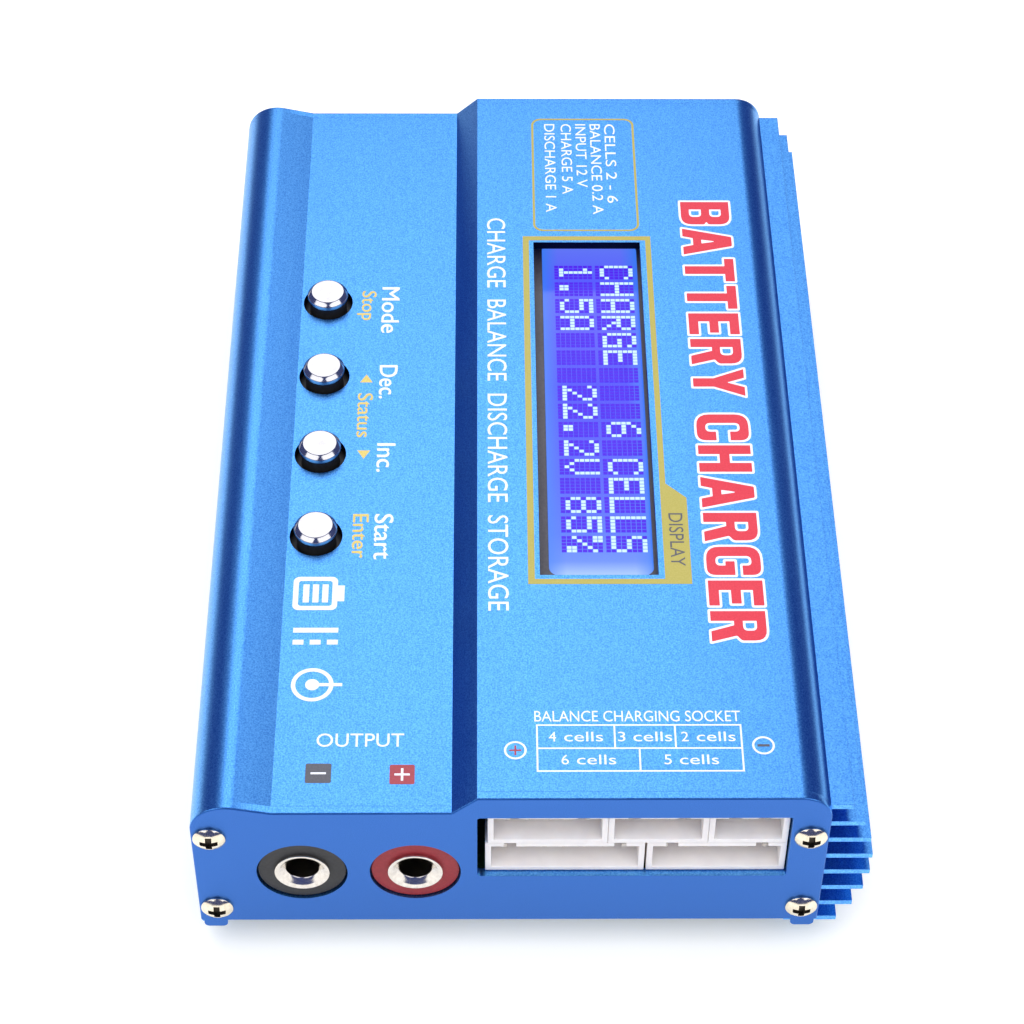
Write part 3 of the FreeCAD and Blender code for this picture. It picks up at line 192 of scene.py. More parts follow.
def anodised(name, dark, light, gloss, grain, relief):
    """Dyed anodising over blasted aluminium, with fine grain and faint die lines along the case."""
    material, tree, shader = surface(name, METAL)
    blast = noise_on(tree, grain, detail=1.0)
    lines = noise_on(tree, DIE_LINES, DIE_LINE_STRETCH, 2.0)
    mixed = tree.nodes.new("ShaderNodeMath")
    mixed.operation = "MULTIPLY_ADD"
    mixed.inputs[1].default_value = DIE_LINE_SHARE
    tree.links.new(lines, mixed.inputs[0])
    tree.links.new(blast, mixed.inputs[2])
    tree.links.new(ramp_on(tree, mixed.outputs["Value"], ((DYE_LOW, dark), (DYE_HIGH, light))),
                   shader.inputs["Base Color"])
    tree.links.new(range_on(tree, lines, NOISE_LOW, NOISE_HIGH, gloss - DYE_GLOSS_CHANGE,
                            gloss + DYE_GLOSS_CHANGE), shader.inputs["Roughness"])
    relief_on(tree, shader, blast, relief, strength=0.35)
    return material


# Places measured on the CAD: the output plate's face, the case's front wall, both panels, the window, and
# the axes of the keys' holes.
plate_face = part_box("output_end_plate")[1].x
front_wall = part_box("upper_case")[0].y
display_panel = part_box("upper_case")[1].z
CAP_RISE = 0.00225
key_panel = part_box("start_key_cap")[1].z - CAP_RISE
WINDOW = ((plate_face - 0.1002, front_wall + 0.04345), (plate_face - 0.0361, front_wall + 0.0589))
KEY_HOLE_RADIUS = 0.0035
key_axes = [(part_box(f"{key}_key_cap")[0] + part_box(f"{key}_key_cap")[1]) / 2
            for key in ("start", "increase", "decrease", "stop")]


SKIN = 0.0013
EDGE_REACH = 0.0003
UPRIGHT = 0.3


def cut_through_panel(face):
    """Whether a face is a wall of the window or of a key's hole: the faces painted dark as painted shade."""
    place = face.center
    if abs(face.normal.z) > UPRIGHT or place.z < key_panel - SKIN - EDGE_REACH:
        return False
    (left, low), (right, high) = WINDOW
    in_window = (left - EDGE_REACH < place.x < right + EDGE_REACH
                 and low - EDGE_REACH < place.y < high + EDGE_REACH)
    in_hole = any(math.hypot(place.x - axis.x, place.y - axis.y) < KEY_HOLE_RADIUS + EDGE_REACH
                  for axis in key_axes)
    return in_window or in_hole


case_finish = anodised("blue_blasted_anodising", (0.070, 0.29, 0.79), (0.158, 0.52, 1.0), 0.34, 5000.0,
                       0.00003)
# Near-black copy of the dye for the cut walls of the window and the keys' holes: painted shade where they lie
# in shadow.
painted_shade_on_cut_walls = anodised("painted_shade_cut_walls", (0.004, 0.008, 0.020), (0.008, 0.016, 0.040), 0.45, 5200.0,
                      0.00001)

# The crease at the foot of the bulge's ramp stays crisp, and the rounds beside it smooth.
CASE_EDGE = 0.00014
CREASE_ANGLE = 11.5
upper_case = broken_edges("upper_case", CASE_EDGE, 3, smooth_under=CREASE_ANGLE)
paint(upper_case, case_finish)
upper_case.data.materials.append(painted_shade_on_cut_walls)
# The window's and the holes' walls get the near-black painted shade.
for face in upper_case.data.polygons:
    if cut_through_panel(face):
        face.material_index = 1


# ---- Floor cover and feet ----
# A flat aluminium sheet that slides into the case's two grooves, dyed like the case, with four moulded
# rubber feet glued under it.

MOULD_CLOUDS = 90.0
MOULD_GLOSS_CHANGE = 0.05


def moulded(name, dark, light, gloss, grain, relief, coat=0.0):
    """A moulded or rolled surface: slight colour variation, fine texture and uneven gloss."""
    material, tree, shader = surface(name, NOT_METAL, coat)
    texture = noise_on(tree, grain)
    cloud = noise_on(tree, MOULD_CLOUDS)
    tree.links.new(ramp_on(tree, texture, ((NOISE_LOW, dark), (NOISE_HIGH, light))),
                   shader.inputs["Base Color"])
    tree.links.new(range_on(tree, cloud, NOISE_LOW, NOISE_HIGH, gloss - MOULD_GLOSS_CHANGE,
                            gloss + MOULD_GLOSS_CHANGE), shader.inputs["Roughness"])
    relief_on(tree, shader, texture, relief, strength=0.3)
    return material


cover_finish = anodised("blue_sheet_anodising", (0.05, 0.22, 0.66), (0.09, 0.31, 0.80), 0.33, 3600.0,
                        0.00001)
COVER_EDGE = 0.00012
FOOT_EDGE = 0.00035
paint(broken_edges("floor_cover", COVER_EDGE), cover_finish)
paint(broken_edges("rubber_feet", FOOT_EDGE, 3), moulded(
    "black_rubber", (0.012, 0.012, 0.012), (0.028, 0.027, 0.026), 0.72, 2600.0, 0.00003))


# ---- End plates ----
# Two stamped aluminium sheets, finer blasted than the case and dyed with it, which close its ends and
# carry the sockets. Their faces are coloured darker than the case as painted shade, and their cut edges take
# the case's lighter colour as a painted highlight.

# A darker copy of the case's dye for the plates' faces: painted shade for the dimmer light they catch.
plate_painted_shade_finish = anodised("blue_plate_anodising_painted_shade", (0.036, 0.140, 0.47), (0.046, 0.166, 0.54), 0.40, 8000.0,
                        0.000004)
PLATE_EDGE = 0.00008
EDGE_ON = 0.5
for plate in ("output_end_plate", "input_end_plate"):
    finished_plate = broken_edges(plate, PLATE_EDGE)
    paint(finished_plate, plate_painted_shade_finish)
    finished_plate.data.materials.append(case_finish)
    # Faces that don't point along the case take the case's lighter dye: a painted highlight on the plates'
    # edges.
    for face in finished_plate.data.polygons:
        if abs(face.normal.x) < EDGE_ON:
            face.material_index = 1


# ---- Screws ----
# Nickel-plated pan-head screws with a cross recess, painted dark inside as painted shade. Four hold each end
# plate, and the others hold the boards, the display and the transistors' clamp bar.

PLATING_CLOUDS = 260.0
DULLEST = 1.25
SHINIEST = 0.75


def plated(name, dark, light, gloss, grain, relief):
    """Polished or plated metal with hairline wear and faint clouding."""
    material, tree, shader = surface(name, METAL)
    wear = noise_on(tree, grain, detail=5.0)
    cloud = noise_on(tree, PLATING_CLOUDS)
    tree.links.new(ramp_on(tree, wear, ((NOISE_LOW, dark), (NOISE_HIGH, light))),
                   shader.inputs["Base Color"])
    tree.links.new(range_on(tree, cloud, NOISE_LOW, NOISE_HIGH, gloss * SHINIEST, gloss * DULLEST),
                   shader.inputs["Roughness"])
    relief_on(tree, shader, wear, relief, strength=0.25)
    return material


nickel = plated("plated_nickel", (0.66, 0.61, 0.54), (0.80, 0.76, 0.70), 0.16, 1800.0, 0.000012)
warm_nickel = plated("warm_plated_nickel", (0.74, 0.65, 0.49), (0.86, 0.79, 0.65), 0.15, 1800.0, 0.000012)
recess_shadow = plated("painted_recess_shadow", (0.055, 0.046, 0.036), (0.095, 0.080, 0.062), 0.50, 1800.0, 0.000012)
HEAD_RADIUS = 0.00205
HEAD_EDGE = 0.00006
RECESS_REACH = 0.00118
RECESS_FLOOR = 0.0005
for screws in ("output_plate_screws", "input_plate_screws"):
    finished_screws = broken_edges(screws, HEAD_EDGE)
    paint(finished_screws, warm_nickel)
    finished_screws.data.materials.append(recess_shadow)
    screws_low, screws_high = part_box(screws)
    head_top = max(abs(screws_low.x), abs(screws_high.x))
    for face in finished_screws.data.polygons:
        place = face.center
        off_axis = math.hypot(min(place.y - screws_low.y, screws_high.y - place.y) - HEAD_RADIUS,
                              min(place.z - screws_low.z, screws_high.z - place.z) - HEAD_RADIUS)
        if off_axis > RECESS_REACH or abs(place.x) < plate_face:
            continue
        # Walls and floor of the cross recess take the dark painted recess shadow.
        if abs(face.normal.x) < UPRIGHT or abs(place.x) < head_top - RECESS_FLOOR:
            face.material_index = 1
for screws in ("board_screws", "display_screws", "clamp_screws"):
    paint(nodes[screws], nickel)


# ---- Output sockets ----
# A black and a red moulded insulator, each with a turned and nickel-plated sleeve for a 4 mm plug, held
# behind the plate by a nut, with a solder tag.

insulators = {
    "black": moulded("charcoal_insulator", (0.017, 0.017, 0.018), (0.029, 0.029, 0.029), 0.58, 3000.0,
                     0.000008),
    "red": moulded("red_insulator", (0.25, 0.007, 0.014), (0.33, 0.013, 0.022), 0.58, 3000.0, 0.000008)}
MOULDED_EDGE = 0.00010
TURNED_EDGE = 0.00008
for colour, plastic in insulators.items():
    paint(broken_edges(f"{colour}_output_insulator", MOULDED_EDGE), plastic)
    paint(broken_edges(f"{colour}_output_sleeve", TURNED_EDGE), nickel)
paint(nodes["output_nuts"], nickel)

tinned = plated("tinned_brass", (0.62, 0.60, 0.56), (0.78, 0.76, 0.71), 0.28, 1500.0, 0.00001)
paint(nodes["output_solder_tags"], tinned)


# ---- Balance sockets ----
# Five shrouded nylon sockets in two rows behind one opening, each with a row of square tinned pins, on a
# small board that stands on the main board.

NYLON_DARK = (0.84, 0.79, 0.755)
NYLON_LIGHT = (0.92, 0.875, 0.83)
NYLON_FLOW = 260.0
NYLON_TEXTURE = 3000.0
NYLON_GLOSS = (0.38, 0.50)
nylon, nylon_tree, nylon_shader = surface("white_nylon", NOT_METAL)
nylon_flow = noise_on(nylon_tree, NYLON_FLOW)
nylon_texture = noise_on(nylon_tree, NYLON_TEXTURE)
nylon_tree.links.new(ramp_on(nylon_tree, nylon_flow, ((NOISE_LOW, NYLON_DARK), (NOISE_HIGH, NYLON_LIGHT))),
                     nylon_shader.inputs["Base Color"])
nylon_tree.links.new(range_on(nylon_tree, nylon_texture, NOISE_LOW, NOISE_HIGH, *NYLON_GLOSS),
                     nylon_shader.inputs["Roughness"])
nylon_shader.inputs["Subsurface Weight"].default_value = 0.35
nylon_shader.inputs["Subsurface Radius"].default_value = (0.0012, 0.0010, 0.0008)
nylon_shader.inputs["Subsurface Scale"].default_value = 1.0
relief_on(nylon_tree, nylon_shader, nylon_texture, 0.000006, strength=0.3)
for cells in ("six", "five", "four", "three", "two"):
    paint(broken_edges(f"{cells}_cell_balance_socket", MOULDED_EDGE), nylon)
paint(nodes["balance_pins"], tinned)

laminate = moulded("green_laminate", (0.008, 0.085, 0.035), (0.014, 0.120, 0.050), 0.32, 700.0, 0.00001,
                   coat=0.3)
for board in ("balance_board", "main_board", "display_board"):
    paint(nodes[board], laminate)


# ---- Keys ----
# Hollow caps, chrome on top and black below their top 1.2 mm, that stand in clear holes of the key panel,
# each on the plunger of a key switch. The switch's dome brings them back up.

chrome = plated("polished_chrome", (0.56, 0.545, 0.54), (0.65, 0.635, 0.63), 0.13, 900.0, 0.000004)
black_plastic = moulded("black_plastic", (0.014, 0.014, 0.015), (0.026, 0.026, 0.028), 0.48, 2400.0,
                        0.00001)
CAP_HEIGHT = 0.0012
CAP_EDGE = 0.00009
UNDER_CAP = 0.00002
for key in ("start", "increase", "decrease", "stop"):
    cap = broken_edges(f"{key}_key_cap", CAP_EDGE, 3)
    paint(cap, chrome)
    cap.data.materials.append(black_plastic)
    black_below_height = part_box(f"{key}_key_cap")[1].z - CAP_HEIGHT
    for face in cap.data.polygons:
        # Faces more than 1.2 mm below the cap's top are coloured black.
        if face.center.z < black_below_height - UNDER_CAP:
            face.material_index = 1
    paint(nodes[f"{key}_key_plunger"], black_plastic)
paint(nodes["key_switches"], black_plastic)


# ---- Display ----
# A character display of two lines with a blue backlight: its glass and light guide lie in a black steel
# frame on the display board, on four spacers. Every character is a block of five by eight dots.

bezel_black = moulded("dark_enamelled_steel", (0.075, 0.070, 0.080), (0.10, 0.094, 0.105), 0.36, 2000.0,
                      0.000006)
BEZEL_EDGE = 0.00008
paint(broken_edges("display_bezel", BEZEL_EDGE), bezel_black)
for node in ("display_spacers", "supply_jack", "buzzer", "microcontroller", "small_chips",
             "power_transistors"):
    paint(nodes[node], black_plastic)
paint(nodes["display_header_pins"], tinned)
paint(nodes["display_backlight"], moulded(
    "light_guide", (0.55, 0.62, 0.80), (0.66, 0.72, 0.88), 0.25, 500.0, 0.00001))

VIEW_LENGTH = 0.0652
VIEW_WIDTH = 0.0139
VIEW_SHIFT = 0.00055
glass_low, glass_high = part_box("display_glass")
view_centre = (glass_low + glass_high) / 2

# The backlight is brightest at the output end, where its lamps are, and bluer along both sides.
GLOW_ALONG = (
    (0.0, (0.135, 0.205, 1.0)), (0.12, (0.100, 0.110, 1.0)), (0.45, (0.035, 0.035, 0.95)),
    (0.74, (0.060, 0.095, 0.97)), (0.88, (0.070, 0.165, 0.98)), (0.955, (0.12, 0.27, 1.0)),
    (1.0, (0.46, 0.68, 1.0)))
SIDE_GLOW = (0.030, 0.225, 0.95, 1.0)
SIDE_GLOW_STARTS = 0.66
SIDE_GLOW_SHARE = 0.8
glass, glass_tree, glass_shader = surface("lit_display_glass", NOT_METAL)
glass_place = glass_tree.nodes.new("ShaderNodeTexCoord")
glass_axes = glass_tree.nodes.new("ShaderNodeSeparateXYZ")
glass_tree.links.new(glass_place.outputs["Object"], glass_axes.inputs["Vector"])
glass_along = range_on(glass_tree, glass_axes.outputs["X"], view_centre.x - VIEW_LENGTH / 2,
                       view_centre.x + VIEW_LENGTH / 2, 0.0, 1.0)
glass_glow = ramp_on(glass_tree, glass_along, GLOW_ALONG)
glass_off_centre = glass_tree.nodes.new("ShaderNodeMath")
glass_off_centre.operation = "SUBTRACT"
glass_off_centre.inputs[1].default_value = view_centre.y - VIEW_SHIFT
glass_tree.links.new(glass_axes.outputs["Y"], glass_off_centre.inputs[0])
glass_distance = glass_tree.nodes.new("ShaderNodeMath")
glass_distance.operation = "ABSOLUTE"
glass_tree.links.new(glass_off_centre.outputs["Value"], glass_distance.inputs[0])
glass_edge = range_on(glass_tree, glass_distance.outputs["Value"], SIDE_GLOW_STARTS * VIEW_WIDTH / 2,
                      VIEW_WIDTH / 2, 0.0, SIDE_GLOW_SHARE)
glass_mix = glass_tree.nodes.new("ShaderNodeMix")
glass_mix.data_type = "RGBA"
glass_mix.inputs["B"].default_value = SIDE_GLOW
glass_tree.links.new(glass_edge, glass_mix.inputs["Factor"])
glass_tree.links.new(glass_glow, glass_mix.inputs["A"])
glass_tree.links.new(glass_mix.outputs["Result"], glass_shader.inputs["Emission Color"])
glass_shader.inputs["Emission Strength"].default_value = 0.92
glass_shader.inputs["Base Color"].default_value = (0.01, 0.01, 0.06, 1.0)
GLASS_CLOUDS = 300.0
GLASS_GLOSS = (0.14, 0.20)
glass_clouds = noise_on(glass_tree, GLASS_CLOUDS)
glass_tree.links.new(range_on(glass_tree, glass_clouds, NOISE_LOW, NOISE_HIGH, *GLASS_GLOSS),
                     glass_shader.inputs["Roughness"])
paint(nodes["display_glass"], glass)

# Each character's rows of dots from the top, with a 1 where a dot is bright. The eighth row stays dim.
GLYPHS = {
    " ": "00000 00000 00000 00000 00000 00000 00000",
    ".": "00000 00000 00000 00000 00000 01100 01100",
    "%": "11000 11001 00010 00100 01000 10011 00011",
    "1": "00100 01100 00100 00100 00100 00100 01110",
    "2": "01110 10001 00001 00010 00100 01000 11111",
    "5": "11111 10000 11110 00001 00001 10001 01110",
    "6": "00110 01000 10000 11110 10001 10001 01110",
    "8": "01110 10001 10001 01110 10001 10001 01110",
    "A": "01110 10001 10001 10001 11111 10001 10001",
    "C": "01110 10001 10000 10000 10000 10001 01110",
    "E": "11111 10000 10000 11110 10000 10000 11111",
    "G": "01110 10001 10000 10111 10001 10001 01111",
    "H": "10001 10001 10001 11111 10001 10001 10001",
    "L": "10000 10000 10000 10000 10000 10000 11111",
    "R": "11110 10001 10001 11110 10100 10010 10001",
    "S": "01111 10000 10000 01110 00001 00001 11110",
    "V": "10001 10001 10001 10001 10001 01010 00100"}
READING = ("CHARGE   6 CELLS", "1.5A   22.2V 85%")
CELL_PITCH = 0.00355
LINE_PITCH = 0.00595
DOTS_ALONG = 5
DOTS_ACROSS = 8
DOT_PITCH_ALONG = 0.0006
DOT_PITCH_ACROSS = 0.0007
DOT_GAP = 0.00010
DOT_CLOUDS = 700.0
INK = 0.00002


def glowing(name, dark, light, strength):
    """A dot of the display, seen against the backlight."""
    material, tree, shader = surface(name, NOT_METAL)
    clouds = noise_on(tree, DOT_CLOUDS)
    tree.links.new(ramp_on(tree, clouds, ((NOISE_LOW, dark), (NOISE_HIGH, light))),
                   shader.inputs["Emission Color"])
    shader.inputs["Emission Strength"].default_value = strength
    shader.inputs["Base Color"].default_value = (0.01, 0.01, 0.05, 1.0)
    shader.inputs["Roughness"].default_value = 0.40
    shader.inputs["Specular IOR Level"].default_value = 0.25
    return material


dim_dot = glowing("dim_dots", (0.076, 0.012, 0.84), (0.092, 0.018, 0.90), 0.96)
bright_dot = glowing("bright_dots", (0.66, 0.95, 0.97), (0.74, 1.0, 1.0), 1.0)
cell_size = Vector((DOTS_ALONG * DOT_PITCH_ALONG, DOTS_ACROSS * DOT_PITCH_ACROSS, 0))
for line, words in enumerate(READING):
    for column, character in enumerate(words):
        middle = Vector((view_centre.x + (column - (len(words) - 1) / 2) * CELL_PITCH,
                         view_centre.y + (0.5 - line) * LINE_PITCH, glass_high.z + INK))
        bpy.ops.mesh.primitive_grid_add(x_subdivisions=DOTS_ALONG, y_subdivisions=DOTS_ACROSS, size=1.0,
                                        location=middle)
        cell = bpy.context.object
        cell.name = f"display_character_{line}_{column}"
        cell.scale = (cell_size.x, cell_size.y, 1.0)
        bpy.ops.object.transform_apply(location=True, rotation=True, scale=True)
        bpy.ops.object.mode_set(mode="EDIT")
        bpy.ops.mesh.select_mode(type="FACE")
        bpy.ops.mesh.select_all(action="SELECT")
        bpy.ops.mesh.inset(thickness=DOT_GAP / 2, use_individual=True)
        bpy.ops.mesh.select_all(action="INVERT")
        bpy.ops.mesh.delete(type="FACE")
        bpy.ops.object.mode_set(mode="OBJECT")
        cell.data.materials.append(dim_dot)
        cell.data.materials.append(bright_dot)
        low_corner = middle - cell_size / 2
        rows = GLYPHS[character].split()
        for face in cell.data.polygons:
            across = int((face.center.x - low_corner.x) / DOT_PITCH_ALONG)
            down = DOTS_ACROSS - 1 - int((face.center.y - low_corner.y) / DOT_PITCH_ACROSS)
            if down < len(rows) and rows[down][across] == "1":
                face.material_index = 1
        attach(cell, "housing")


# ---- Printed marks ----
# Screen-printed ink on both panels: a heading, a frame round the window, a table of the sockets, polarity
# marks and the keys' names. Each mark is a film of ink as thick as a real one.

INK_GLOSS = 0.45
INK_GRAIN = 5000.0
INK_RELIEF = 0.000004


def ink(name, dark, light):
    return moulded(name, dark, light, INK_GLOSS, INK_GRAIN, INK_RELIEF)


white_ink = ink("white_ink", (0.80, 0.82, 0.84), (0.92, 0.93, 0.94))
gold_ink = ink("gold_ink", (0.426, 0.368, 0.068), (0.485, 0.420, 0.100))
yellow_ink = ink("yellow_ink", (0.66, 0.50, 0.12), (0.78, 0.62, 0.18))
red_ink = ink("red_ink", (0.64, 0.034, 0.052), (0.74, 0.050, 0.072))
deep_red_ink = ink("deep_red_ink", (0.34, 0.05, 0.06), (0.40, 0.065, 0.075))
grey_ink = ink("grey_ink", (0.085, 0.085, 0.095), (0.115, 0.115, 0.125))


def film(piece, name, material, panel, layer=0):
    """Turns a flat curve or text into a film of ink on a panel. A higher layer lies on a lower one."""
    select_only(piece)
    piece.name = name
    piece.data.fill_mode = "BOTH"
    piece.data.extrude = INK / 2
    bpy.ops.object.convert(target="MESH")
    piece = bpy.context.object
    select_only(piece)
    bpy.ops.object.transform_apply(location=True, rotation=True, scale=True)
    piece.data.transform(Matrix.Translation((0, 0, panel + INK * layer / 2)))
    paint(piece, material)
    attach(piece, "housing")
    return piece


def printed_shape(name, loops, material, panel, layer=0):
    """Ink inside closed loops of (along, across) points in millimetres, counted from the output plate's
    face and from the front wall. A loop inside another is a hole."""
    curve = bpy.data.curves.new(name, "CURVE")
    curve.dimensions = "2D"
    for loop in loops:
        spline = curve.splines.new("POLY")
        spline.points.add(len(loop) - 1)
        for point, (along, across) in zip(spline.points, loop):
            point.co = (plate_face + along / 1000, front_wall + across / 1000, 0, 1)
        spline.use_cyclic_u = True
    piece = bpy.data.objects.new(name, curve)
    bpy.context.scene.collection.objects.link(piece)
    return film(piece, name, material, panel, layer)


def printed_words(name, words, start, end, material, panel, layer=0, upwards=False):
    """Words fitted to a box from start to end, in millimetres as above. They read along the case, or
    across it towards the fins."""
    bpy.ops.object.text_add(location=(0, 0, 0))
    piece = bpy.context.object
    piece.data.body = words
    piece.data.resolution_u = 4
    bpy.context.view_layer.update()
    corners = [Vector(corner) for corner in piece.bound_box]
    low = Vector([min(corner[axis] for corner in corners) for axis in range(3)])
    high = Vector([max(corner[axis] for corner in corners) for axis in range(3)])
    length, height = high.x - low.x, high.y - low.y
    box_length, box_height = (end[0] - start[0]) / 1000, (end[1] - start[1]) / 1000
    corner = Vector((plate_face + start[0] / 1000, front_wall + start[1] / 1000, 0))
    if upwards:
        piece.scale = (box_height / length, box_length / height, 1)
        turn = Matrix.Rotation(math.pi / 2, 4, "Z")
        corner.x += box_length
    else:
        piece.scale = (box_length / length, box_height / height, 1)
        turn = Matrix.Identity(4)
    scale = piece.scale.copy()
    shift = turn @ Vector((low.x * scale.x, low.y * scale.y, 0))
    piece.rotation_euler = turn.to_euler()
    piece.location = corner - shift
    return film(piece, name, material, panel, layer)


def rounded(left, low, right, high, radius, steps=6):
    """A rounded rectangle as a loop."""
    loop = []
    corners = ((right - radius, high - radius, 0), (left + radius, high - radius, 90),
               (left + radius, low + radius, 180), (right - radius, low + radius, 270))
    for centre_x, centre_y, start in corners:
        for step in range(steps + 1):
            angle = math.radians(start + 90 * step / steps)
            loop.append((centre_x + radius * math.cos(angle), centre_y + radius * math.sin(angle)))
    return loop


RING_QUARTER_STEPS = 10


def ring(x, y, radius):
    return rounded(x - radius, y - radius, x + radius, y + radius, radius, RING_QUARTER_STEPS)


def bar(left, low, right, high):
    return [(left, low), (right, low), (right, high), (left, high)]


# Heading in block letters, on a white outline, and the line of functions. A letter is drawn on a grid ten
# high: its loops are corners of (across, up, rounding), the outside counter-clockwise and holes clockwise.
BLOCK_LETTERS = {
    "A": (6.8, [[(0, 0, 0), (2.0, 0, 0), (2.5, 2.1, 0), (4.3, 2.1, 0), (4.8, 0, 0), (6.8, 0, 0),
                 (4.6, 10, 0.3), (2.2, 10, 0.3)],
                [(2.9, 3.8, 0), (3.4, 7.0, 0.2), (3.9, 3.8, 0)]]),
    "B": (6.0, [[(0, 0, 0), (6, 0, 2.2), (6, 4.8, 1.1), (5.2, 5.15, 0.3), (6, 5.5, 1.1), (6, 10, 2.2),
                 (0, 10, 0)],
                [(2, 1.7, 0), (2, 4.2, 0), (4, 4.2, 0.9), (4, 1.7, 0.9)],
                [(2, 5.9, 0), (2, 8.3, 0), (4, 8.3, 0.9), (4, 5.9, 0.9)]]),
    "C": (6.0, [[(6, 3.7, 0), (4, 3.7, 0), (4, 1.7, 1), (2, 1.7, 1), (2, 8.3, 1), (4, 8.3, 1), (4, 6.4, 0),
                 (6, 6.4, 0), (6, 10, 2.6), (0, 10, 2.6), (0, 0, 2.6), (6, 0, 2.6)]]),
    "E": (5.2, [[(0, 0, 0), (5.2, 0, 0), (5.2, 1.9, 0), (2, 1.9, 0), (2, 4.1, 0), (4.8, 4.1, 0),
                 (4.8, 5.9, 0), (2, 5.9, 0), (2, 8.1, 0), (5.2, 8.1, 0), (5.2, 10, 0), (0, 10, 0)]]),
    "G": (6.0, [[(6, 5.2, 0), (3.1, 5.2, 0), (3.1, 3.5, 0), (4, 3.5, 0), (4, 1.7, 1), (2, 1.7, 1),
                 (2, 8.3, 1), (4, 8.3, 1), (4, 6.6, 0), (6, 6.6, 0), (6, 10, 2.6), (0, 10, 2.6),
                 (0, 0, 2.6), (6, 0, 1.6)]]),
    "H": (6.0, [[(0, 0, 0), (2, 0, 0), (2, 4.0, 0), (4, 4.0, 0), (4, 0, 0), (6, 0, 0), (6, 10, 0), (4, 10, 0),
                 (4, 5.9, 0), (2, 5.9, 0), (2, 10, 0), (0, 10, 0)]]),
    "R": (6.2, [[(0, 0, 0), (2, 0, 0), (2, 4.2, 0), (2.9, 4.2, 0), (4.1, 0, 0), (6.2, 0, 0), (5.0, 4.6, 0.4),
                 (6, 5.4, 1.0), (6, 10, 2.2), (0, 10, 0)],
                [(2, 5.8, 0), (2, 8.3, 0), (4, 8.3, 0.9), (4, 5.8, 0.9)]]),
    "T": (5.8, [[(1.9, 0, 0), (3.9, 0, 0), (3.9, 8.1, 0), (5.8, 8.1, 0), (5.8, 10, 0), (0, 10, 0),
                 (0, 8.1, 0), (1.9, 8.1, 0)]]),
    "Y": (6.4, [[(2.2, 0, 0), (4.2, 0, 0), (4.2, 4.0, 0), (6.4, 10, 0), (4.3, 10, 0), (3.2, 6.6, 0),
                 (2.1, 10, 0), (0, 10, 0), (2.2, 4.0, 0)]])}
LETTER_HEIGHT = 10
LETTER_GAP = 1.15
WORD_GAP = 3.2
SHARPEST_CORNER = 0.12
LONGEST_CUT = 0.48
LETTER_CORNER_STEPS = 5


def grown(corners, amount):
    """A loop of corners whose edges are moved outwards."""
    moved = []
    for index, (x, y, rounding) in enumerate(corners):
        before = Vector(corners[index - 1][:2])
        after = Vector(corners[(index + 1) % len(corners)][:2])
        arriving = (Vector((x, y)) - before).normalized()
        leaving = (after - Vector((x, y))).normalized()
        normals = (Vector((arriving.y, -arriving.x)), Vector((leaving.y, -leaving.x)))
        shift = (normals[0] + normals[1]) * amount / (1 + normals[0].dot(normals[1]))
        turn = arriving.x * leaving.y - arriving.y * leaving.x
        moved.append((x + shift.x, y + shift.y, max(rounding + math.copysign(amount, turn),
                                                              SHARPEST_CORNER)))
    return moved


def rounded_loop(corners):
    """A loop of points with each corner rounded."""
    loop = []
    for index, (x, y, rounding) in enumerate(corners):
        corner = Vector((x, y))
        before = Vector(corners[index - 1][:2]) - corner
        after = Vector(corners[(index + 1) % len(corners)][:2]) - corner
        reach = min(rounding / math.tan(before.angle(after) / 2),
                    LONGEST_CUT * before.length, LONGEST_CUT * after.length)
        start, end = corner + before.normalized() * reach, corner + after.normalized() * reach
        for step in range(LETTER_CORNER_STEPS + 1):
            part = step / LETTER_CORNER_STEPS
            loop.append(start * (1 - part) ** 2 + corner * 2 * part * (1 - part) + end * part ** 2)
    return loop


def block_words(name, words, start, end, material, panel, growth=0.0, layer=0):
    """Block letters fitted to a box from start to end, in millimetres, all in one film of ink."""
    total = -LETTER_GAP
    for letter in words:
        total += WORD_GAP if letter == " " else BLOCK_LETTERS[letter][0] + LETTER_GAP
    along, across = (end[0] - start[0]) / total, (end[1] - start[1]) / LETTER_HEIGHT
    loops = []
    place = 0.0
    for letter in words:
        if letter == " ":
            place += WORD_GAP
            continue
        width, outlines = BLOCK_LETTERS[letter]
        for outline in outlines:
            loops.append([(start[0] + (place + point.x) * along, start[1] + point.y * across)
                          for point in rounded_loop(grown(outline, growth))])
        place += width + LETTER_GAP
    return printed_shape(name, loops, material, panel, layer)


HEADING = "BATTERY CHARGER"
HEADING_BOX = ((-109.0, 65.2), (-24.8, 72.3))
OUTLINE = 0.45
block_words("heading_outline", HEADING, *HEADING_BOX, white_ink, display_panel, growth=OUTLINE)
block_words("heading", HEADING, *HEADING_BOX, red_ink, display_panel, layer=1)
printed_words("functions_line", "CHARGE  BALANCE  DISCHARGE  STORAGE", (-105.4, 36.7), (-30.0, 39.4),
              white_ink, display_panel)

# Gold frame round the window, with its tab
printed_shape("window_frame", (
    [(-101.5, 41.9), (-34.5, 41.9), (-34.5, 63.2), (-49.7, 63.2), (-52.3, 60.5), (-101.5, 60.5)],
    bar(-100.6, 42.8, -35.4, 59.7)), gold_ink, display_panel)
printed_words("window_name", "DISPLAY", (-46.9, 60.6), (-37.6, 62.5), grey_ink, display_panel, 1)

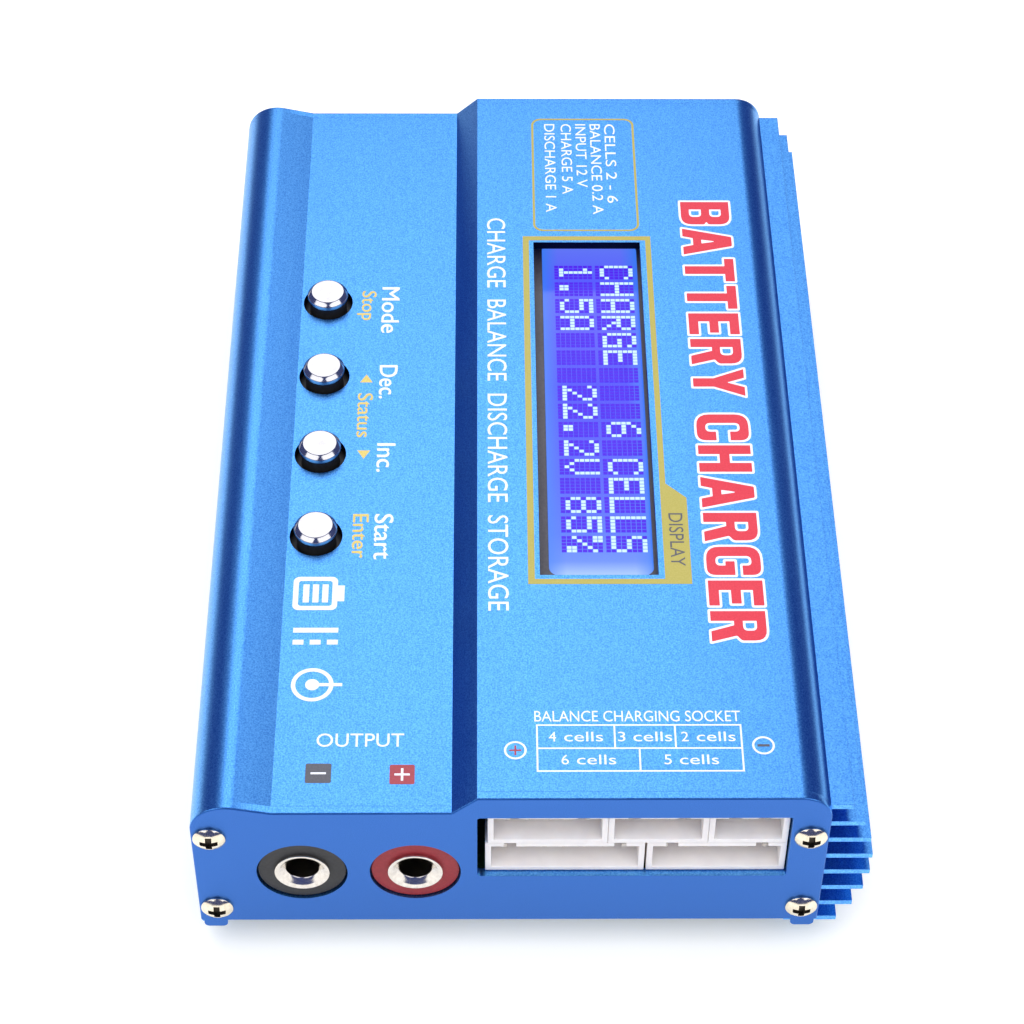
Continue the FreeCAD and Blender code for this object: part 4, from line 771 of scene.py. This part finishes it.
# Box of ratings
printed_shape("ratings_box", (rounded(-128.1, 43.45, -102.6, 59.0, 1.5),
                              rounded(-127.75, 43.8, -102.95, 58.65, 1.2)), gold_ink, display_panel)
RATINGS = (("CELLS 2 - 6", 54.5, 18.0), ("BALANCE 0.2 A", 52.3, 20.5), ("INPUT 12 V", 50.1, 14.5),
           ("CHARGE 5 A", 47.9, 16.0), ("DISCHARGE 1 A", 45.4, 20.0))
for index, (words, low, length) in enumerate(RATINGS):
    printed_words(f"rating_{index}", words, (-126.8, low), (-126.8 + length, low + 1.6), white_ink,
                  display_panel)

# Names of the keys, in heavier strokes
STROKE_SHIFT = 0.10


def heavy_words(name, words, start, end, material, panel):
    """The same words printed twice, slightly apart, which thickens their strokes."""
    for layer in (0, 1):
        shift = STROKE_SHIFT * (layer - 0.5)
        printed_words(f"{name}_{layer}", words, (start[0] + shift, start[1] + shift / 2),
                      (end[0] + shift, end[1] + shift / 2), material, panel, layer)


KEY_WORDS = (("stop_mode", "Mode", -93.5, -84.5), ("decrease", "Dec.", -77.5, -71.4),
             ("increase", "Inc.", -62.3, -57.4), ("start", "Start", -49.2, -41.6))
for name, words, left, right in KEY_WORDS:
    heavy_words(f"{name}_word", words, (left - 0.2, 21.6), (right + 0.2, 24.1), white_ink, key_panel)
heavy_words("stop_word", "Stop", (-92.9, 18.1), (-86.9, 20.8), yellow_ink, key_panel)
heavy_words("status_word", "Status", (-72.15, 18.7), (-63.7, 20.8), yellow_ink, key_panel)
heavy_words("enter_word", "Enter", (-49.4, 18.7), (-41.6, 20.8), yellow_ink, key_panel)
printed_shape("decrease_arrow", ([(-75.9, 19.8), (-74.3, 18.9), (-74.3, 20.7)],), yellow_ink, key_panel)
printed_shape("increase_arrow", ([(-59.6, 19.8), (-61.2, 20.7), (-61.2, 18.9)],), yellow_ink, key_panel)

# Pictograms: a battery, direct current and a plug's polarity
printed_shape("battery_pictogram", (
    rounded(-38.3, 11.3, -32.6, 17.1, 0.8), rounded(-37.6, 12.0, -33.3, 16.4, 0.4)), white_ink, key_panel)
printed_shape("battery_pole", (bar(-36.8, 17.1, -34.1, 18.0),), white_ink, key_panel)
for index in range(3):
    printed_shape(f"battery_charge_{index}", (bar(-37.0, 12.6 + 1.25 * index, -33.9, 13.4 + 1.25 * index),),
                  white_ink, key_panel)
printed_shape("direct_current_line", (bar(-29.6, 11.6, -28.8, 17.4),), white_ink, key_panel)
for index in range(3):
    printed_shape(f"direct_current_dash_{index}",
                  (bar(-27.6, 11.6 + 2.2 * index, -26.8, 13.0 + 2.2 * index),), white_ink, key_panel)
printed_shape("polarity_ring", (ring(-20.2, 14.4, 2.7), ring(-20.2, 14.4, 2.15)), white_ink, key_panel)
printed_shape("polarity_centre", (ring(-20.2, 14.4, 0.9),), white_ink, key_panel)
printed_shape("polarity_lead", (bar(-20.45, 15.3, -19.95, 18.2),), white_ink, key_panel, 1)

# Output marks
printed_words("output_word", "OUTPUT", (-12.4, 15.3), (-10.3, 26.2), white_ink, key_panel,
              upwards=True)
printed_shape("negative_square", (rounded(-7.7, 14.1, -4.7, 17.3, 0.25),), grey_ink, key_panel)
printed_shape("negative_sign", (bar(-6.35, 14.75, -6.05, 16.65),), white_ink, key_panel, 1)
printed_shape("positive_square", (rounded(-7.5, 24.5, -4.5, 27.6, 0.25),), deep_red_ink, key_panel)
printed_shape("positive_sign", ([
    (-6.15, 25.1), (-5.85, 25.1), (-5.85, 25.9), (-5.05, 25.9), (-5.05, 26.2), (-5.85, 26.2),
    (-5.85, 27.0), (-6.15, 27.0), (-6.15, 26.2), (-6.95, 26.2), (-6.95, 25.9), (-6.15, 25.9)],),
    white_ink, key_panel, 1)

# Table of the balance sockets and the polarity at its ends
LINE = 0.22
TABLE_ROWS = ((-11.4, -7.8, (42.7, 52.3, 59.8, 67.95), ("4", "3", "2")),
              (-7.8, -4.3, (42.7, 55.3, 67.95), ("6", "5")))
table_loops = [bar(-11.4 - LINE / 2, 42.7 - LINE / 2, -4.3 + LINE / 2, 67.95 + LINE / 2)]
for left, right, walls, cells in TABLE_ROWS:
    for index, count in enumerate(cells):
        low, high = walls[index], walls[index + 1]
        table_loops.append(bar(left + LINE / 2, low + LINE / 2, right - LINE / 2, high - LINE / 2))
        middle = (low + high) / 2
        centre = (left + right) / 2
        printed_words(f"cells_{count}_number", count, (centre - 0.75, middle - 3.35),
                      (centre + 0.75, middle - 2.45), white_ink, display_panel, upwards=True)
        printed_words(f"cells_{count}_word", "cells", (centre - 0.75, middle - 1.45),
                      (centre + 0.75, middle + 3.35), white_ink, display_panel, upwards=True)
printed_shape("socket_table", table_loops, white_ink, display_panel)
printed_words("socket_heading", "BALANCE CHARGING SOCKET", (-13.65, 42.4), (-11.95, 68.0), white_ink,
              display_panel, upwards=True)
for name, x, y in (("positive", -7.5, 40.0), ("negative", -8.2, 70.6)):
    printed_shape(f"{name}_ring", (ring(x, y, 1.4), ring(x, y, 1.13)), white_ink, display_panel)
printed_shape("positive_ring_sign", ([
    (-7.62, 39.25), (-7.38, 39.25), (-7.38, 39.88), (-6.75, 39.88), (-6.75, 40.12), (-7.38, 40.12),
    (-7.38, 40.75), (-7.62, 40.75), (-7.62, 40.12), (-8.25, 40.12), (-8.25, 39.88), (-7.62, 39.88)],),
    deep_red_ink, display_panel)
printed_shape("negative_ring_sign", (bar(-8.38, 69.85, -8.02, 71.35),), grey_ink, display_panel)


# ---- Input end ----
# The supply jack and its centre pin, and the temperature sensor's socket, soldered to the main board.

paint(nodes["supply_jack_pin"], tinned)
paint(broken_edges("sensor_socket", MOULDED_EDGE), nylon)
paint(nodes["sensor_socket_pins"], tinned)


# ---- Inside the case ----
# The boards' posts, the crystal's can, the thermal pad, the transistors' clamp bar, the choke and the
# capacitors.

zinc = plated("zinc_plated_steel", (0.50, 0.51, 0.52), (0.62, 0.63, 0.64), 0.34, 1200.0, 0.00001)
for node in ("board_posts", "quartz_crystal", "clamp_bar"):
    paint(nodes[node], zinc)
paint(nodes["thermal_pad"], moulded(
    "thermal_silicone", (0.36, 0.38, 0.40), (0.44, 0.46, 0.48), 0.80, 900.0, 0.00002))
paint(nodes["choke_core"], moulded(
    "ferrite", (0.035, 0.035, 0.038), (0.060, 0.060, 0.064), 0.62, 1800.0, 0.00003))
paint(nodes["choke_winding"], plated(
    "enamelled_copper", (0.48, 0.17, 0.055), (0.62, 0.25, 0.085), 0.24, 1400.0, 0.00002))
for node in ("input_capacitors", "output_capacitors"):
    paint(nodes[node], moulded(
        f"{node}_sleeve", (0.008, 0.012, 0.040), (0.014, 0.020, 0.060), 0.30, 600.0, 0.00001, coat=0.2))


# ---- Studio ----
# A pale floor, a large soft light above the far end that both panels mirror, one on each side in front,
# a fill that lights the floor and the prints, and the camera in front of the output end.

ROOM_COLOUR = (0.11, 0.145, 0.40, 1.0)
ROOM_BRIGHTNESS = 0.6
bpy.context.scene.view_settings.view_transform = "Standard"
world = bpy.data.worlds.new("studio")
bpy.context.scene.world = world
world.use_nodes = True
world.node_tree.nodes["Background"].inputs["Color"].default_value = ROOM_COLOUR
world.node_tree.nodes["Background"].inputs["Strength"].default_value = ROOM_BRIGHTNESS

# The floor's own faint warm glow evens out the room's blue, so that it comes out white.
FLOOR_SIZE = 6.0
FLOOR_GLOW = (1.0, 0.93, 0.50, 1.0)
FLOOR_GLOW_BRIGHTNESS = 0.27
bpy.ops.mesh.primitive_plane_add(size=FLOOR_SIZE, location=(0, 0, 0))
floor = bpy.context.object
floor.name = "studio_floor"
floor_paper = moulded("pale_floor", (0.88, 0.88, 0.88), (0.90, 0.90, 0.90), 0.60, 60.0, 0.00001)
floor_shader = floor_paper.node_tree.nodes["Principled BSDF"]
floor_shader.inputs["Emission Color"].default_value = FLOOR_GLOW
floor_shader.inputs["Emission Strength"].default_value = FLOOR_GLOW_BRIGHTNESS
paint(floor, floor_paper)


def soft_light(name, place, aim, length, width, power, glossy=True):
    """A rectangular light that faces a point, with its sizes in metres and its power in watts."""
    lamp = bpy.data.lights.new(name, "AREA")
    lamp.shape = "RECTANGLE"
    lamp.size = length
    lamp.size_y = width
    lamp.energy = power
    light = bpy.data.objects.new(name, lamp)
    bpy.context.scene.collection.objects.link(light)
    light.location = place
    light.rotation_euler = (Vector(aim) - Vector(place)).to_track_quat("-Z", "Y").to_euler()
    light.visible_glossy = glossy
    return light


CASE_MIDDLE = (0, 0, 0.02)
FLOOR_MIDDLE = (0, 0, 0)
soft_light("far_softbox", (-0.48, -0.035, 0.73), CASE_MIDDLE, 0.47, 0.70, 1.76)
for name, side in (("front_left_softbox", -1), ("front_right_softbox", 1)):
    soft_light(name, (0.385, side * 0.427, 0.482), CASE_MIDDLE, 0.74, 0.45, 1.67)
soft_light("overhead_fill", (0.1, 0.0, 1.6), FLOOR_MIDDLE, 2.2, 2.2, 30.0, glossy=False)

CAMERA_PLACE = (0.26825, -0.0067, 0.30504)
CAMERA_AZIMUTH = 89.03
CAMERA_ELEVATION = 47.65
CAMERA_ROLL = 0.68
SENSOR_WIDTH = 36.0
FOCAL_LENGTH = 98.01
camera = bpy.data.objects.new("camera", bpy.data.cameras.new("camera"))
bpy.context.scene.collection.objects.link(camera)
camera.data.sensor_width = SENSOR_WIDTH
camera.data.lens = FOCAL_LENGTH
camera.data.clip_start = 0.01
camera.location = CAMERA_PLACE
aim = Euler((math.radians(90 - CAMERA_ELEVATION), 0, math.radians(CAMERA_AZIMUTH))).to_matrix()
camera.rotation_euler = (aim @ Matrix.Rotation(math.radians(CAMERA_ROLL), 3, "Z")).to_euler()
bpy.context.scene.camera = camera
